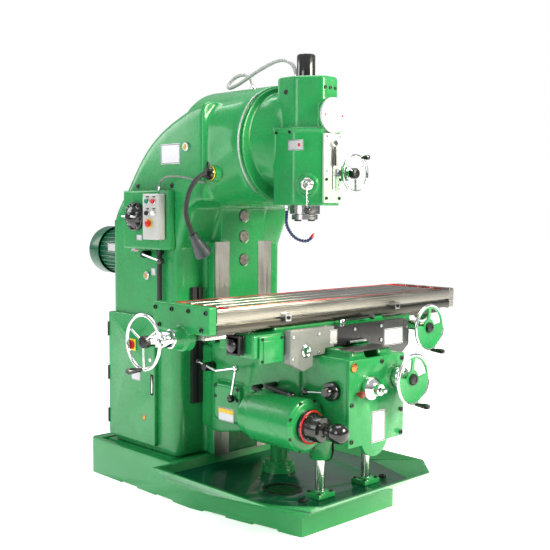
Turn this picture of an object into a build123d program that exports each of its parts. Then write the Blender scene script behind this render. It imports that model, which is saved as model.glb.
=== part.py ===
"""Knee-type vertical milling machine with a swivelling head, as separate pieces.

Frame: millimetres, +Z up, origin on the floor under the column's front guideway
plane, on the machine's mid-plane. +X is the operator's right, +Y is the column's back.
"""
from build123d import *
import os
from math import cos, radians, sin

os.makedirs("parts", exist_ok=True)

# ---------------------------------------------------------------- driving sizes
TABLE_LENGTH = 1700
TABLE_WIDTH = 400
TABLE_TOP = 1073
TABLE_THICK = 105
TABLE_X = 109
SPINDLE_Y = -450
TSLOT_PITCH = 90
TSLOT_WIDTH = 18

BASE_TOP = 200
TRAY_FLOOR = 150
COLUMN_HALF = 375
COLUMN_BACK = 700
COLUMN_FRONT = 100
WAY_HALF = 200
WAY_INNER = 103
WAY_TOP = 1333

SWIVEL_Z = 1830
ARM_R = 298
ARM_FRONT = -291
HEAD_HALF = 150
HEAD_BACK = -380
HEAD_FRONT = -630
HEAD_BOTTOM = 1525
HEAD_SHOULDER = 1890
HEAD_TOP = 2147
CASE_HALF = 128
CASE_FRONT = -613
CAP_TOP = 2265
NOSE_Z = 1455
NOSE_R = 64.285

KNEE_HALF = 228
KNEE_TOP = 826
KNEE_FRONT = -912
APRON_FRONT = -932
SADDLE_TOP = 967.5
SCREW_Z = 935
WHEEL_R = 125
GAP = 0.5


def facing_front(x, y, z):
    """Plane whose normal looks at the operator and whose local y is up."""
    return Plane(origin=(x, y, z), x_dir=(1, 0, 0), z_dir=(0, -1, 0))


def facing_left(x, y, z):
    """Plane whose normal looks out of the machine's left side, local y up."""
    return Plane(origin=(x, y, z), x_dir=(0, -1, 0), z_dir=(-1, 0, 0))


def rod(start, end, radius):
    """Round bar from one point to another, added to the piece being made."""
    reach = Vector(*end) - Vector(*start)
    with Locations(Plane(origin=start, z_dir=reach)):
        Cylinder(radius, reach.length, align=(Align.CENTER, Align.CENTER, Align.MIN))


# ---------------------------------------------------------------- base and tray
FOOT_OUTLINE = [(-448, 809), (-448, -93), (-331, -772), (331, -772), (448, -93), (448, 809)]
RIM_HALF = 564
RIM_FRONT = -954
RIM_BACK = 57
RIM_CORNER = 170
REAR_HALF = 448
RIM_OUTLINE = [
    (-RIM_HALF, RIM_BACK), (-RIM_HALF, RIM_FRONT + RIM_CORNER),
    (-RIM_HALF + RIM_CORNER, RIM_FRONT), (RIM_HALF - RIM_CORNER, RIM_FRONT),
    (RIM_HALF, RIM_FRONT + RIM_CORNER), (RIM_HALF, RIM_BACK),
]
FOOT_Z = 90
WALL = 16
FRONT_FOOT = [(-447, RIM_BACK), (-447, -93), (-331, -772), (331, -772), (447, -93), (447, RIM_BACK)]


def tray_outline(height):
    """Outline of the flaring tray at a height between its foot and its rim."""
    share = (height - FOOT_Z) / (BASE_TOP - FOOT_Z)
    return [(low[0] + (high[0] - low[0]) * share, low[1] + (high[1] - low[1]) * share)
            for low, high in zip(FRONT_FOOT, RIM_OUTLINE)]


ANCHOR_X = 290
ANCHOR_Y = 735
SUMP_X, SUMP_Y, SUMP_R = -215, -526, 88

with BuildPart() as base:
    # rear plinth under the column
    with BuildSketch():
        with BuildLine():
            Polyline(FOOT_OUTLINE, close=True)
        make_face()
    extrude(amount=BASE_TOP)
    chamfer(base.edges().filter_by(Axis.Z).sort_by(Axis.Y)[-2:], 25)
    # tray flaring out in front of the column
    with BuildSketch(Plane.XY.offset(FOOT_Z)):
        with BuildLine():
            Polyline(tray_outline(FOOT_Z), close=True)
        make_face()
    with BuildSketch(Plane.XY.offset(BASE_TOP)):
        with BuildLine():
            Polyline(RIM_OUTLINE, close=True)
        make_face()
    loft(ruled=True)
    # open tray inside the rim
    for height in (TRAY_FLOOR, BASE_TOP):
        with BuildSketch(Plane.XY.offset(height)):
            with BuildLine():
                Polyline(tray_outline(height), close=True)
            make_face()
            offset(amount=-WALL, kind=Kind.INTERSECTION)
    loft(ruled=True, mode=Mode.SUBTRACT)
    # floor under the column front closes the tray
    with Locations((0, 150, TRAY_FLOOR - 20)):
        Box(2 * REAR_HALF, 225, BASE_TOP - TRAY_FLOOR + 20, align=(Align.CENTER, Align.CENTER, Align.MIN))
    # ledge groove round the column foot
    with BuildSketch(Plane.XY.offset(BASE_TOP - 14)):
        with Locations((0, 420)):
            Rectangle(2 * REAR_HALF - 60, 640)
            Rectangle(2 * COLUMN_HALF + 24, 585, mode=Mode.SUBTRACT)
    extrude(amount=20, mode=Mode.SUBTRACT)
    # pocket in the underside leaves the pads that touch the floor
    with Locations((0, 0, 0)):
        Box(520, 1280, 80, mode=Mode.SUBTRACT)
    with Locations((0, 430, 0), (0, 120, 0), (0, -250, 0), (0, -560, 0)):
        Box(1300, 150, 16, mode=Mode.SUBTRACT)
    # sump hole and anchor holes
    with BuildSketch(Plane.XY):
        with Locations((SUMP_X, SUMP_Y)):
            Circle(SUMP_R)
    extrude(amount=BASE_TOP, mode=Mode.SUBTRACT)
    with BuildSketch(Plane.XY):
        with GridLocations(2 * ANCHOR_X, 2 * ANCHOR_Y, 2, 2):
            Circle(14)
    extrude(amount=BASE_TOP + 5, mode=Mode.SUBTRACT)
base.part.label = "base"
export_step(base.part, "parts/base.step")


# ---------------------------------------------------------------- column
ARM_TOP_BACK = 190
with BuildPart() as column:
    # body with its curved back, seen from the side
    with BuildSketch(Plane.YZ.offset(-COLUMN_HALF)):
        with BuildLine():
            Polyline((COLUMN_FRONT, 1300), (COLUMN_FRONT, BASE_TOP), (COLUMN_BACK, BASE_TOP), (COLUMN_BACK, 1371))
            Spline((COLUMN_BACK, 1371), (590, 1585), (447, 1762), (270, 1905), (60, 1998), (-110, 2040),
                   tangents=((0, 1), (-1, 0.12)))
            Polyline((-110, 2040), (-110, 1545), (-50, 1540), (5, 1512), (COLUMN_FRONT, 1300))
        make_face()
    extrude(amount=2 * COLUMN_HALF)
    side_edges = [e for e in column.edges() if abs(abs(e.center().X) - COLUMN_HALF) < 1]
    fillet([e for e in side_edges if e.center().Y > 300 and e.center().Z > 600], 58)
    fillet([e for e in side_edges if e.center().Y < 101 and e.center().Z < 1480], 45)
    # round arm that carries the head
    with BuildSketch(Plane.XZ.offset(-ARM_TOP_BACK)):
        with Locations((0, SWIVEL_Z)):
            Circle(ARM_R)
    extrude(amount=ARM_TOP_BACK - ARM_FRONT)
    with BuildSketch(Plane.XZ.offset(-ARM_TOP_BACK)):
        with Locations((0, SWIVEL_Z)):
            Circle(ARM_R)
    with BuildSketch(Plane.XZ.offset(-420)):
        with Locations((0, SWIVEL_Z - 240)):
            Circle(ARM_R - 110)
    loft()
    # shoulders easing the wide body into the round arm
    with BuildSketch(Plane.XZ.offset(100)):
        with Locations((0, 1775)):
            RectangleRounded(2 * COLUMN_HALF - 30, 520, 150)
    with BuildSketch(Plane.XZ.offset(-ARM_FRONT - 30)):
        with Locations((0, SWIVEL_Z)):
            Circle(ARM_R - 2)
    loft()
    # guideway block down the front
    with BuildSketch(Plane.XY.offset(BASE_TOP)):
        with BuildLine():
            Polyline((-WAY_HALF + 15, COLUMN_FRONT + 60), (-WAY_HALF + 15, 60), (-WAY_HALF, 60),
                     (-WAY_HALF, 6), (WAY_HALF, 6), (WAY_HALF, 60), (WAY_HALF - 15, 60),
                     (WAY_HALF - 15, COLUMN_FRONT + 60), close=True)
        make_face()
    extrude(amount=WAY_TOP - BASE_TOP)
    with Locations((0, 3, (WAY_TOP + BASE_TOP) / 2)):
        Box(2 * WAY_INNER - 1, 6, WAY_TOP - BASE_TOP)
    # neck above the ways, rounded under the arm
    with BuildSketch(Plane.XZ.offset(0)):
        with Locations((0, (WAY_TOP + 1600) / 2)):
            Rectangle(310, 1600 - WAY_TOP)
    extrude(amount=-150)
    # cabinet recess behind the left door
    with Locations((-COLUMN_HALF - 10, 480, 580)):
        Box(330, 330, 560, align=(Align.MIN, Align.CENTER, Align.CENTER), mode=Mode.SUBTRACT)
    # bores for the three round plugs
    with BuildSketch(Plane.XZ.offset(0)):
        with Locations((0, 1469), (0, 1359), (0, 1235)):
            Circle(33)
    extrude(amount=-10, mode=Mode.SUBTRACT)
column.part.label = "column"
export_step(column.part, "parts/column.step")

with BuildPart() as column_ways:
    with BuildSketch(Plane.XY.offset(BASE_TOP)):
        for side in (-1, 1):
            with Locations((side * (WAY_HALF + WAY_INNER) / 2, 3)):
                Rectangle(WAY_HALF - WAY_INNER, 6)
    extrude(amount=WAY_TOP - BASE_TOP)
column_ways.part.label = "column_ways"
export_step(column_ways.part, "parts/column_ways.step")

with BuildPart() as stop_rail:
    with BuildSketch(Plane.XY.offset(482)):
        with Locations((-254, COLUMN_FRONT - 11)):
            Rectangle(66, 22)
        with Locations((-254, COLUMN_FRONT - 17)):
            Rectangle(16, 12, mode=Mode.SUBTRACT)
    extrude(amount=1095 - 482)
stop_rail.part.label = "stop_rail"
export_step(stop_rail.part, "parts/stop_rail.step")

with BuildPart() as oil_plugs:
    with BuildSketch(Plane.XZ.offset(4)):
        with Locations((0, 1469), (0, 1359), (0, 1235)):
            Circle(32.5)
    extrude(amount=-13)
    chamfer(oil_plugs.faces().sort_by(Axis.Y)[:3].edges(), 2)
oil_plugs.part.label = "oil_plugs"
export_step(oil_plugs.part, "parts/oil_plugs.step")

with BuildPart() as oil_sights:
    with BuildSketch(Plane.YZ.offset(-COLUMN_HALF)):
        with Locations((19, 1816), (355, 1147)):
            Circle(22)
    extrude(amount=-12)
    chamfer(oil_sights.faces().sort_by(Axis.X)[:2].edges(), 3)
oil_sights.part.label = "oil_sights"
export_step(oil_sights.part, "parts/oil_sights.step")

# ---------------------------------------------------------------- main motor on the back
MOTOR_X, MOTOR_Z = -140, 1255
with BuildPart(Plane(origin=(MOTOR_X, COLUMN_BACK, MOTOR_Z), x_dir=(-1, 0, 0), z_dir=(0, 1, 0))) as main_motor:
    Cylinder(150, 30, align=(Align.CENTER, Align.CENTER, Align.MIN))
    Cylinder(126, 275, align=(Align.CENTER, Align.CENTER, Align.MIN))
    with PolarLocations(126, 30):
        with Locations((0, 0, 45)):
            Box(16, 5, 215, align=(Align.CENTER, Align.CENTER, Align.MIN))
    with Locations((0, 150, 90)):
        Box(130, 60, 120, align=(Align.CENTER, Align.CENTER, Align.MIN))
main_motor.part.label = "main_motor"
export_step(main_motor.part, "parts/main_motor.step")

with BuildPart(Plane(origin=(MOTOR_X, 975.2, MOTOR_Z), x_dir=(-1, 0, 0), z_dir=(0, 1, 0))) as motor_fan_cover:
    Cylinder(141, 115, align=(Align.CENTER, Align.CENTER, Align.MIN))
    fillet(motor_fan_cover.edges().sort_by(Axis.Y)[-1], 30)
    with Locations((0, 0, -1)):
        Cylinder(135, 100, align=(Align.CENTER, Align.CENTER, Align.MIN), mode=Mode.SUBTRACT)
motor_fan_cover.part.label = "motor_fan_cover"
export_step(motor_fan_cover.part, "parts/motor_fan_cover.step")

# ---------------------------------------------------------------- speed box and control panel
with BuildPart() as speed_box:
    with BuildSketch(Plane.XY.offset(1290)):
        with BuildLine():
            Polyline((-COLUMN_HALF, 115), (-400, 115), (-440, 165), (-446, 470), (-COLUMN_HALF, 545), close=True)
        make_face()
    extrude(amount=308)
    fillet(speed_box.edges().filter_by(Axis.Z).sort_by(Axis.X)[:3], 24)
    fillet(speed_box.faces().sort_by(Axis.Z)[0].edges().sort_by(Axis.X)[:2], 12)
speed_box.part.label = "speed_box"
export_step(speed_box.part, "parts/speed_box.step")

PANEL_X = -468
PANEL_Y = 198
with BuildPart() as control_panel:
    with BuildSketch(Plane.YZ.offset(-430)):
        with Locations((PANEL_Y, 1462)):
            RectangleRounded(138, 236, 8)
    extrude(amount=PANEL_X + 430)
    with BuildSketch(Plane.XY.offset(1290)):
        with BuildLine():
            Polyline((-COLUMN_HALF, 115), (-400, 115), (-440, 165), (-446, 470), (-COLUMN_HALF, 545), close=True)
        make_face()
    extrude(amount=308, mode=Mode.SUBTRACT)
    with BuildSketch(Plane.YZ.offset(PANEL_X)):
        with Locations((PANEL_Y + 27, 1542), (PANEL_Y - 27, 1542), (PANEL_Y + 27, 1481),
                       (PANEL_Y - 27, 1481), (PANEL_Y + 8, 1428)):
            Circle(9.5)
    extrude(amount=22, mode=Mode.SUBTRACT)
control_panel.part.label = "control_panel"
export_step(control_panel.part, "parts/control_panel.step")


def push_button(y, z, radius, standoff):
    """Round button with its stem in the panel, pressed inwards along +X."""
    plane = facing_left(PANEL_X, y, z)
    with BuildPart(plane) as button:
        with Locations((0, 0, -14)):
            Cylinder(9, 14 + standoff, align=(Align.CENTER, Align.CENTER, Align.MIN))
        with Locations((0, 0, standoff)):
            Cylinder(radius, 9, align=(Align.CENTER, Align.CENTER, Align.MIN))
        fillet(button.edges().sort_by(Axis.X)[0], 2.5)
    return button.part


BUTTONS = {
    "start_button": (PANEL_Y + 27, 1542, 13, 6),
    "stop_button": (PANEL_Y - 27, 1542, 13, 6),
    "jog_button": (PANEL_Y + 27, 1481, 13, 6),
    "brake_button": (PANEL_Y - 27, 1481, 13, 6),
    "emergency_button": (PANEL_Y + 8, 1428, 21, 12),
}
for button_name, (button_y, button_z, button_r, button_out) in BUTTONS.items():
    button_part = push_button(button_y, button_z, button_r, button_out)
    button_part.label = button_name
    export_step(button_part, f"parts/{button_name}.step")

DIAL_Y, DIAL_Z = 352, 1462
with BuildPart(facing_left(-446.5, DIAL_Y, DIAL_Z)) as speed_dial:
    Cylinder(76, 22, align=(Align.CENTER, Align.CENTER, Align.MIN))
    with Locations((0, 0, 22)):
        Cone(60, 34, 20, align=(Align.CENTER, Align.CENTER, Align.MIN))
    with Locations((0, 0, 42)):
        Cylinder(16, 22, align=(Align.CENTER, Align.CENTER, Align.MIN))
    with Locations((0, 0, 50)):
        Box(130, 14, 14)
speed_dial.part.label = "speed_dial"
export_step(speed_dial.part, "parts/speed_dial.step")

LEVER_Y, LEVER_Z = 335, 1262
with BuildPart(facing_left(-COLUMN_HALF, LEVER_Y, LEVER_Z)) as shift_lever:
    with Locations((0, 0, 0.5)):
        Cylinder(20, 50, align=(Align.CENTER, Align.CENTER, Align.MIN))
    rod((0, 0, 44), (156, -29, 46), 7)
    with Locations((158, -29, 46)):
        Sphere(19)
shift_lever.part.label = "shift_lever"
export_step(shift_lever.part, "parts/shift_lever.step")

# ---------------------------------------------------------------- electrical cabinet door
DOOR_X = -COLUMN_HALF - 0.5
DOOR_THICK = 24
DOOR_Y = (262, 690)
DOOR_Z = (236, 930)
ISOLATOR_Y, ISOLATOR_Z = 452, 766
with BuildPart() as cabinet_door:
    with BuildSketch(Plane.YZ.offset(DOOR_X)):
        with Locations(((DOOR_Y[0] + DOOR_Y[1]) / 2, (DOOR_Z[0] + DOOR_Z[1]) / 2)):
            RectangleRounded(DOOR_Y[1] - DOOR_Y[0], DOOR_Z[1] - DOOR_Z[0], 14)
    extrude(amount=-DOOR_THICK)
    fillet(cabinet_door.faces().sort_by(Axis.X)[0].edges(), 6)
    with Locations((DOOR_X - DOOR_THICK, 285, 567)):
        Box(16, 22, 110, mode=Mode.SUBTRACT)
    with Locations((DOOR_X - DOOR_THICK + 4, 285, 567)):
        Box(10, 10, 96)
    # square pad behind the isolator knob
    with BuildSketch(Plane.YZ.offset(DOOR_X - DOOR_THICK)):
        with Locations((ISOLATOR_Y, ISOLATOR_Z)):
            RectangleRounded(64, 64, 6)
    extrude(amount=-8)
cabinet_door.part.label = "cabinet_door"
export_step(cabinet_door.part, "parts/cabinet_door.step")

with BuildPart(facing_left(DOOR_X - DOOR_THICK - 8.3, ISOLATOR_Y, ISOLATOR_Z)) as isolator_knob:
    Cylinder(23, 12, align=(Align.CENTER, Align.CENTER, Align.MIN))
    with Locations((0, 0, 12)):
        Box(16, 62, 26, align=(Align.CENTER, Align.CENTER, Align.MIN))
isolator_knob.part.label = "isolator_knob"
export_step(isolator_knob.part, "parts/isolator_knob.step")

# ---------------------------------------------------------------- work lamp
LAMP = (-341, -150, 1680)
with BuildPart() as lamp_mount:
    with Locations(facing_left(*LAMP).offset(-20)):
        Cylinder(40, 34, align=(Align.CENTER, Align.CENTER, Align.MIN))
    add(column.part, mode=Mode.SUBTRACT)
lamp_mount.part.label = "lamp_mount"
export_step(lamp_mount.part, "parts/lamp_mount.step")

LAMP_ROUTE = [(-381, -150, 1680), (-425, -142, 1668), (-458, -118, 1612), (-470, -92, 1530),
              (-448, -70, 1448), (-400, -56, 1382)]
with BuildPart() as lamp_arm:
    with Locations(Location((-368, -150, 1680), (0, 90, 0))):
        Cylinder(34, 26)
    with BuildLine() as lamp_path:
        FilletPolyline(*LAMP_ROUTE, radius=(30, 60, 80, 70))
    with BuildSketch(Plane(origin=lamp_path.line @ 0, z_dir=lamp_path.line % 0)):
        Circle(12)
    sweep()
lamp_arm.part.label = "lamp_arm"
export_step(lamp_arm.part, "parts/lamp_arm.step")

with BuildPart(Plane(origin=(-396.5, -55.5, 1377.5), z_dir=(78, 12, -100))) as lamp_shade:
    Cylinder(24, 34, align=(Align.CENTER, Align.CENTER, Align.MIN))
    with Locations((0, 0, 34)):
        Cone(26, 47, 92, align=(Align.CENTER, Align.CENTER, Align.MIN))
    with Locations((0, 0, 60)):
        Cone(28, 42.5, 67, align=(Align.CENTER, Align.CENTER, Align.MIN), mode=Mode.SUBTRACT)
lamp_shade.part.label = "lamp_shade"
export_step(lamp_shade.part, "parts/lamp_shade.step")

# ---------------------------------------------------------------- cables on the column
CABLE_ROUTE = [(-410, 200, 1598), (-410, 200, 1640), (-410, 140, 1668), (-404, 50, 1668), (-398, -40, 1655),
               (-384, -96, 1638), (-377, -128, 1634)]
with BuildPart() as lamp_cable:
    with BuildLine() as cable_path:
        FilletPolyline(*CABLE_ROUTE, radius=(20, 60, 150, 90, 25))
    with BuildSketch(Plane(origin=cable_path.line @ 0, z_dir=cable_path.line % 0)):
        Circle(5)
    sweep()
lamp_cable.part.label = "lamp_cable"
export_step(lamp_cable.part, "parts/lamp_cable.step")

with BuildPart() as cabinet_conduit:
    with Locations((-COLUMN_HALF - 20, 222, 1120)):
        Cylinder(12.5, 330)
    with Locations((-COLUMN_HALF - 20, 222, 1276.5), (-COLUMN_HALF - 20, 222, 962)):
        Cylinder(18, 26)
cabinet_conduit.part.label = "cabinet_conduit"
export_step(cabinet_conduit.part, "parts/cabinet_conduit.step")

HEAD_CONDUIT_ROUTE = [(-10, -392, HEAD_TOP + 1), (-10, -392, 2190), (-6, -350, 2240), (2, -270, 2262), (-6, -190, 2244),
                      (-18, -90, 2206), (-24, 20, 2160), (-22, 108, 2142), (0, 128, 2178), (20, 80, 2216),
                      (22, 10, 2216), (4, -50, 2190), (0, -64, 2131)]
with BuildPart() as head_conduit:
    with BuildLine() as conduit_path:
        FilletPolyline(*HEAD_CONDUIT_ROUTE, radius=(28, 50, 90, 120, 160, 120, 45, 40, 50, 50, 25))
    with BuildSketch(Plane(origin=conduit_path.line @ 0, z_dir=conduit_path.line % 0)):
        Circle(9)
    sweep()
head_conduit.part.label = "head_conduit"
export_step(head_conduit.part, "parts/head_conduit.step")
print("head conduit", round(conduit_path.wires()[0].length), "lamp cable", round(cable_path.wires()[0].length),
      "lamp arm", round(lamp_path.wires()[0].length))

# ---------------------------------------------------------------- milling head
HEAD_PLAN = [(-HEAD_HALF, HEAD_BACK), (-HEAD_HALF, -512), (-62, HEAD_FRONT + 8), (62, HEAD_FRONT + 8),
             (HEAD_HALF, -512), (HEAD_HALF, HEAD_BACK)]
CASE_PLAN = [(-CASE_HALF, HEAD_BACK), (-CASE_HALF, -505), (-52, CASE_FRONT), (52, CASE_FRONT),
             (CASE_HALF, -505), (CASE_HALF, HEAD_BACK)]
with BuildPart() as head:
    with BuildSketch(Plane.XY.offset(HEAD_BOTTOM)):
        with BuildLine():
            Polyline(HEAD_PLAN, close=True)
        make_face()
    extrude(amount=HEAD_SHOULDER - HEAD_BOTTOM)
    with BuildSketch(Plane.XY.offset(HEAD_SHOULDER)):
        with BuildLine():
            Polyline(CASE_PLAN, close=True)
        make_face()
    extrude(amount=HEAD_TOP - HEAD_SHOULDER)
    upright = head.edges().filter_by(Axis.Z)
    fillet([e for e in upright if -600 < e.center().Y < -500], 40)
    upright = head.edges().filter_by(Axis.Z)
    fillet([e for e in upright if e.center().Y < -600], 20)
    fillet(head.faces().sort_by(Axis.Z)[-1].edges(), 16)
    # seat for the round badge
    with BuildSketch(Plane.XZ.offset(-CASE_FRONT - 5)):
        with Locations((0, 1957)):
            Circle(80)
    extrude(amount=CASE_FRONT - HEAD_FRONT + 3.5)
    # neck from the round swivel face to the box
    with BuildSketch(Plane.XZ.offset(-ARM_FRONT + 8)):
        with Locations((0, SWIVEL_Z + 20)):
            Circle(240)
    with BuildSketch(Plane.XZ.offset(-HEAD_BACK + 40)):
        with Locations((0, SWIVEL_Z + 20)):
            RectangleRounded(2 * CASE_HALF - 4, 430, 60)
    loft()
    with BuildSketch(Plane.XZ.offset(-ARM_FRONT + 1)):
        with Locations((0, SWIVEL_Z)):
            Circle(ARM_R - 10)
    extrude(amount=10)
    # shoulder band where the gear case sits on the quill housing
    with BuildSketch(Plane.XY.offset(HEAD_SHOULDER - 6)):
        with BuildLine():
            Polyline(HEAD_PLAN, close=True)
        make_face()
        offset(amount=6, kind=Kind.INTERSECTION)
    extrude(amount=12)
    # boss for the quill clamp on the front left, bearing arm for the quill wheel on the right
    with BuildSketch(Plane(origin=(-100, -566, 1625), z_dir=(-0.78, -0.625, 0))):
        Circle(50)
    extrude(amount=22)
    with Locations(Location((150, -452, 1689), (0, 0, 0))):
        Box(130, 70, 76, align=(Align.MIN, Align.CENTER, Align.CENTER))
    with Locations(Location((252, -417, 1689), (90, 0, 0))):
        Cylinder(38, 90, align=(Align.CENTER, Align.CENTER, Align.MIN))
    # quill bore and drawbar way
    with Locations((0, SPINDLE_Y, HEAD_BOTTOM - 5)):
        Cylinder(75.4, 480, align=(Align.CENTER, Align.CENTER, Align.MIN), mode=Mode.SUBTRACT)
    with Locations((0, SPINDLE_Y, HEAD_TOP - 160)):
        Cylinder(36, 170, align=(Align.CENTER, Align.CENTER, Align.MIN), mode=Mode.SUBTRACT)
    with Locations(Location((252, -417, 1689), (90, 0, 0))):
        Cylinder(14.05, 95, align=(Align.CENTER, Align.CENTER, Align.MIN), mode=Mode.SUBTRACT)
head.part.label = "head"
export_step(head.part, "parts/head.step")

with BuildPart() as head_plate:
    with BuildSketch(Plane.XZ.offset(-HEAD_FRONT - 8)):
        with Locations((0, (1537 + 1870) / 2)):
            RectangleRounded(118, 1870 - 1537, 6)
    extrude(amount=14)
    with BuildSketch(Plane.XZ.offset(-HEAD_FRONT + 6)):
        with Locations((0, 1700)):
            SlotOverall(200, 10, rotation=90)
        with Locations((0, 1671)):
            Rectangle(130, 2)
    extrude(amount=-4, mode=Mode.SUBTRACT)
head_plate.part.label = "head_plate"
export_step(head_plate.part, "parts/head_plate.step")

with BuildPart(facing_front(0, HEAD_FRONT + 1.4, 1957)) as head_badge:
    Cylinder(86, 12, align=(Align.CENTER, Align.CENTER, Align.MIN))
    chamfer(head_badge.edges().sort_by(Axis.Y)[0], 3)
head_badge.part.label = "head_badge"
export_step(head_badge.part, "parts/head_badge.step")

with BuildPart() as drawbar_cap:
    with Locations((0, SPINDLE_Y, HEAD_TOP)):
        Cylinder(45.5, CAP_TOP - HEAD_TOP, align=(Align.CENTER, Align.CENTER, Align.MIN))
    fillet(drawbar_cap.edges().sort_by(Axis.Z)[-1], 6)
    with Locations((0, SPINDLE_Y, HEAD_TOP - 1)):
        Cylinder(38, CAP_TOP - HEAD_TOP - 15, align=(Align.CENTER, Align.CENTER, Align.MIN), mode=Mode.SUBTRACT)
drawbar_cap.part.label = "drawbar_cap"
export_step(drawbar_cap.part, "parts/drawbar_cap.step")

QUILL_R = 75
SPINDLE_BORE = 48
with BuildPart() as quill:
    with Locations((0, SPINDLE_Y, NOSE_Z + 28)):
        Cylinder(QUILL_R, 420, align=(Align.CENTER, Align.CENTER, Align.MIN))
        Cylinder(SPINDLE_BORE + 0.05, 420, align=(Align.CENTER, Align.CENTER, Align.MIN), mode=Mode.SUBTRACT)
    with BuildSketch(Plane.XY.offset(NOSE_Z + 28)):
        with Locations((0, SPINDLE_Y)):
            Circle(69)
    extrude(amount=6, mode=Mode.SUBTRACT)
quill.part.label = "quill"
export_step(quill.part, "parts/quill.step")

TAPER_GAUGE_R = 34.925
TAPER_LENGTH = 107
with BuildPart() as spindle:
    with BuildSketch(Plane.XZ.offset(-SPINDLE_Y)):
        with BuildLine():
            Polyline((0, NOSE_Z + TAPER_LENGTH), (TAPER_GAUGE_R - TAPER_LENGTH * 7 / 48, NOSE_Z + TAPER_LENGTH),
                     (TAPER_GAUGE_R, NOSE_Z), (NOSE_R, NOSE_Z), (NOSE_R, NOSE_Z + 25), (SPINDLE_BORE, NOSE_Z + 27),
                     (SPINDLE_BORE, 1930), (30, 1930), (30, 2040), (0, 2040), close=True)
        make_face()
    revolve(axis=Axis(origin=(0, SPINDLE_Y, 0), direction=(0, 0, 1)))
    with Locations((0, SPINDLE_Y, NOSE_Z)):
        with PolarLocations(50.8, 4, start_angle=45):
            Hole(7, 22)
        with PolarLocations(48, 2):
            Box(24, 25.4, 16, mode=Mode.SUBTRACT)
spindle.part.label = "spindle"
export_step(spindle.part, "parts/spindle.step")

with BuildPart() as drive_keys:
    with Locations((0, SPINDLE_Y, NOSE_Z)):
        with PolarLocations(48, 2):
            Box(24, 25.2, 15.8)
drive_keys.part.label = "drive_keys"
export_step(drive_keys.part, "parts/drive_keys.step")

HOSE_ROUTE = [(-96, -420, HEAD_BOTTOM - 2), (-96, -420, 1478), (-106, -424, 1430), (-96, -462, 1372),
              (-74, -504, 1350), (-44, -528, 1352), (-27, -532, 1378)]
with BuildPart() as coolant_hose:
    with BuildLine() as hose_path:
        FilletPolyline(*HOSE_ROUTE, radius=(90, 60, 50, 40, 20))
    with BuildSketch(Plane(origin=hose_path.line @ 0, z_dir=hose_path.line % 0)):
        Circle(8)
    sweep()
    with Locations((-96, -420, HEAD_BOTTOM - 12)):
        Cylinder(14, 20)
coolant_hose.part.label = "coolant_hose"
export_step(coolant_hose.part, "parts/coolant_hose.step")


def crank_wheel(plane, rim_radius, tube, hub_out, hub_back):
    """Dished handwheel: round rim, upright spoke, solid lower half and hub."""
    inner = rim_radius - tube
    with BuildPart(plane) as wheel:
        Torus(inner, tube)
        with Locations((0, 0, -6)):
            Cylinder(inner - 2, 7, arc_size=180, rotation=(0, 0, 180))
        with Locations((0, inner / 2, -4)):
            Cylinder(7.5, inner - 4, rotation=(90, 0, 0))
        with Locations((0, 0, -hub_back)):
            Cylinder(24, hub_back + hub_out, align=(Align.CENTER, Align.CENTER, Align.MIN))
    return wheel.part


def open_wheel(plane, rim_radius, tube, hub_out, hub_back):
    """Open handwheel: round rim on three thin spokes and a hub."""
    inner = rim_radius - tube
    with BuildPart(plane) as wheel:
        Torus(inner, tube)
        with PolarLocations(inner / 2, 3, start_angle=-88):
            Cylinder(5, inner - 4, rotation=(0, 90, 0))
        with Locations((0, 0, -hub_back)):
            Cylinder(24, hub_back + hub_out, align=(Align.CENTER, Align.CENTER, Align.MIN))
    return wheel.part


def wheel_grip(plane, rim_radius, tube, angle, length=86):
    """Turned grip standing on the rim, free to spin on its own pin."""
    reach = rim_radius - tube
    with BuildPart(plane) as grip:
        with Locations((reach * cos(radians(angle)), reach * sin(radians(angle)), tube + 0.4)):
            Cone(9, 13.5, length * 0.75, align=(Align.CENTER, Align.CENTER, Align.MIN))
        with Locations((reach * cos(radians(angle)), reach * sin(radians(angle)), tube + 0.4 + length * 0.75)):
            Cone(13.5, 10, length * 0.25, align=(Align.CENTER, Align.CENTER, Align.MIN))
    return grip.part


QUILL_WHEEL = facing_front(252, -560, 1689)
with BuildPart() as quill_handwheel:
    add(open_wheel(QUILL_WHEEL, 98, 6.5, 8, 44))
    with Locations(QUILL_WHEEL.offset(-140)):
        Cylinder(14, 100, align=(Align.CENTER, Align.CENTER, Align.MIN))
    with Locations(QUILL_WHEEL):
        with Locations((43, 81, 0)):
            Cone(8, 13, 46, align=(Align.CENTER, Align.CENTER, Align.MIN))
quill_handwheel.part.label = "quill_handwheel"
export_step(quill_handwheel.part, "parts/quill_handwheel.step")

CLAMP_NORMAL = (-0.78, -0.625, 0)
with BuildPart(Plane(origin=(-100 - 0.78 * 22.3, -566 - 0.625 * 22.3, 1625), x_dir=(0.625, -0.78, 0),
                     z_dir=CLAMP_NORMAL)) as quill_clamp:
    Cylinder(30, 26, align=(Align.CENTER, Align.CENTER, Align.MIN))
    with Locations((0, 0, 26)):
        Cone(22, 12, 22, align=(Align.CENTER, Align.CENTER, Align.MIN))
    rod((0, 0, 38), (6, -124, 46), 6.5)
    with Locations((6, -124, 46)):
        Sphere(19)
quill_clamp.part.label = "quill_clamp"
export_step(quill_clamp.part, "parts/quill_clamp.step")

with BuildPart(facing_front(0, HEAD_FRONT - 6.3, 1822)) as depth_lever:
    Cylinder(17, 20, align=(Align.CENTER, Align.CENTER, Align.MIN))
    with Locations(Location((0, -60, 16), (90, 0, 0))):
        Cone(6, 11, 95)
depth_lever.part.label = "depth_lever"
export_step(depth_lever.part, "parts/depth_lever.step")

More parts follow.
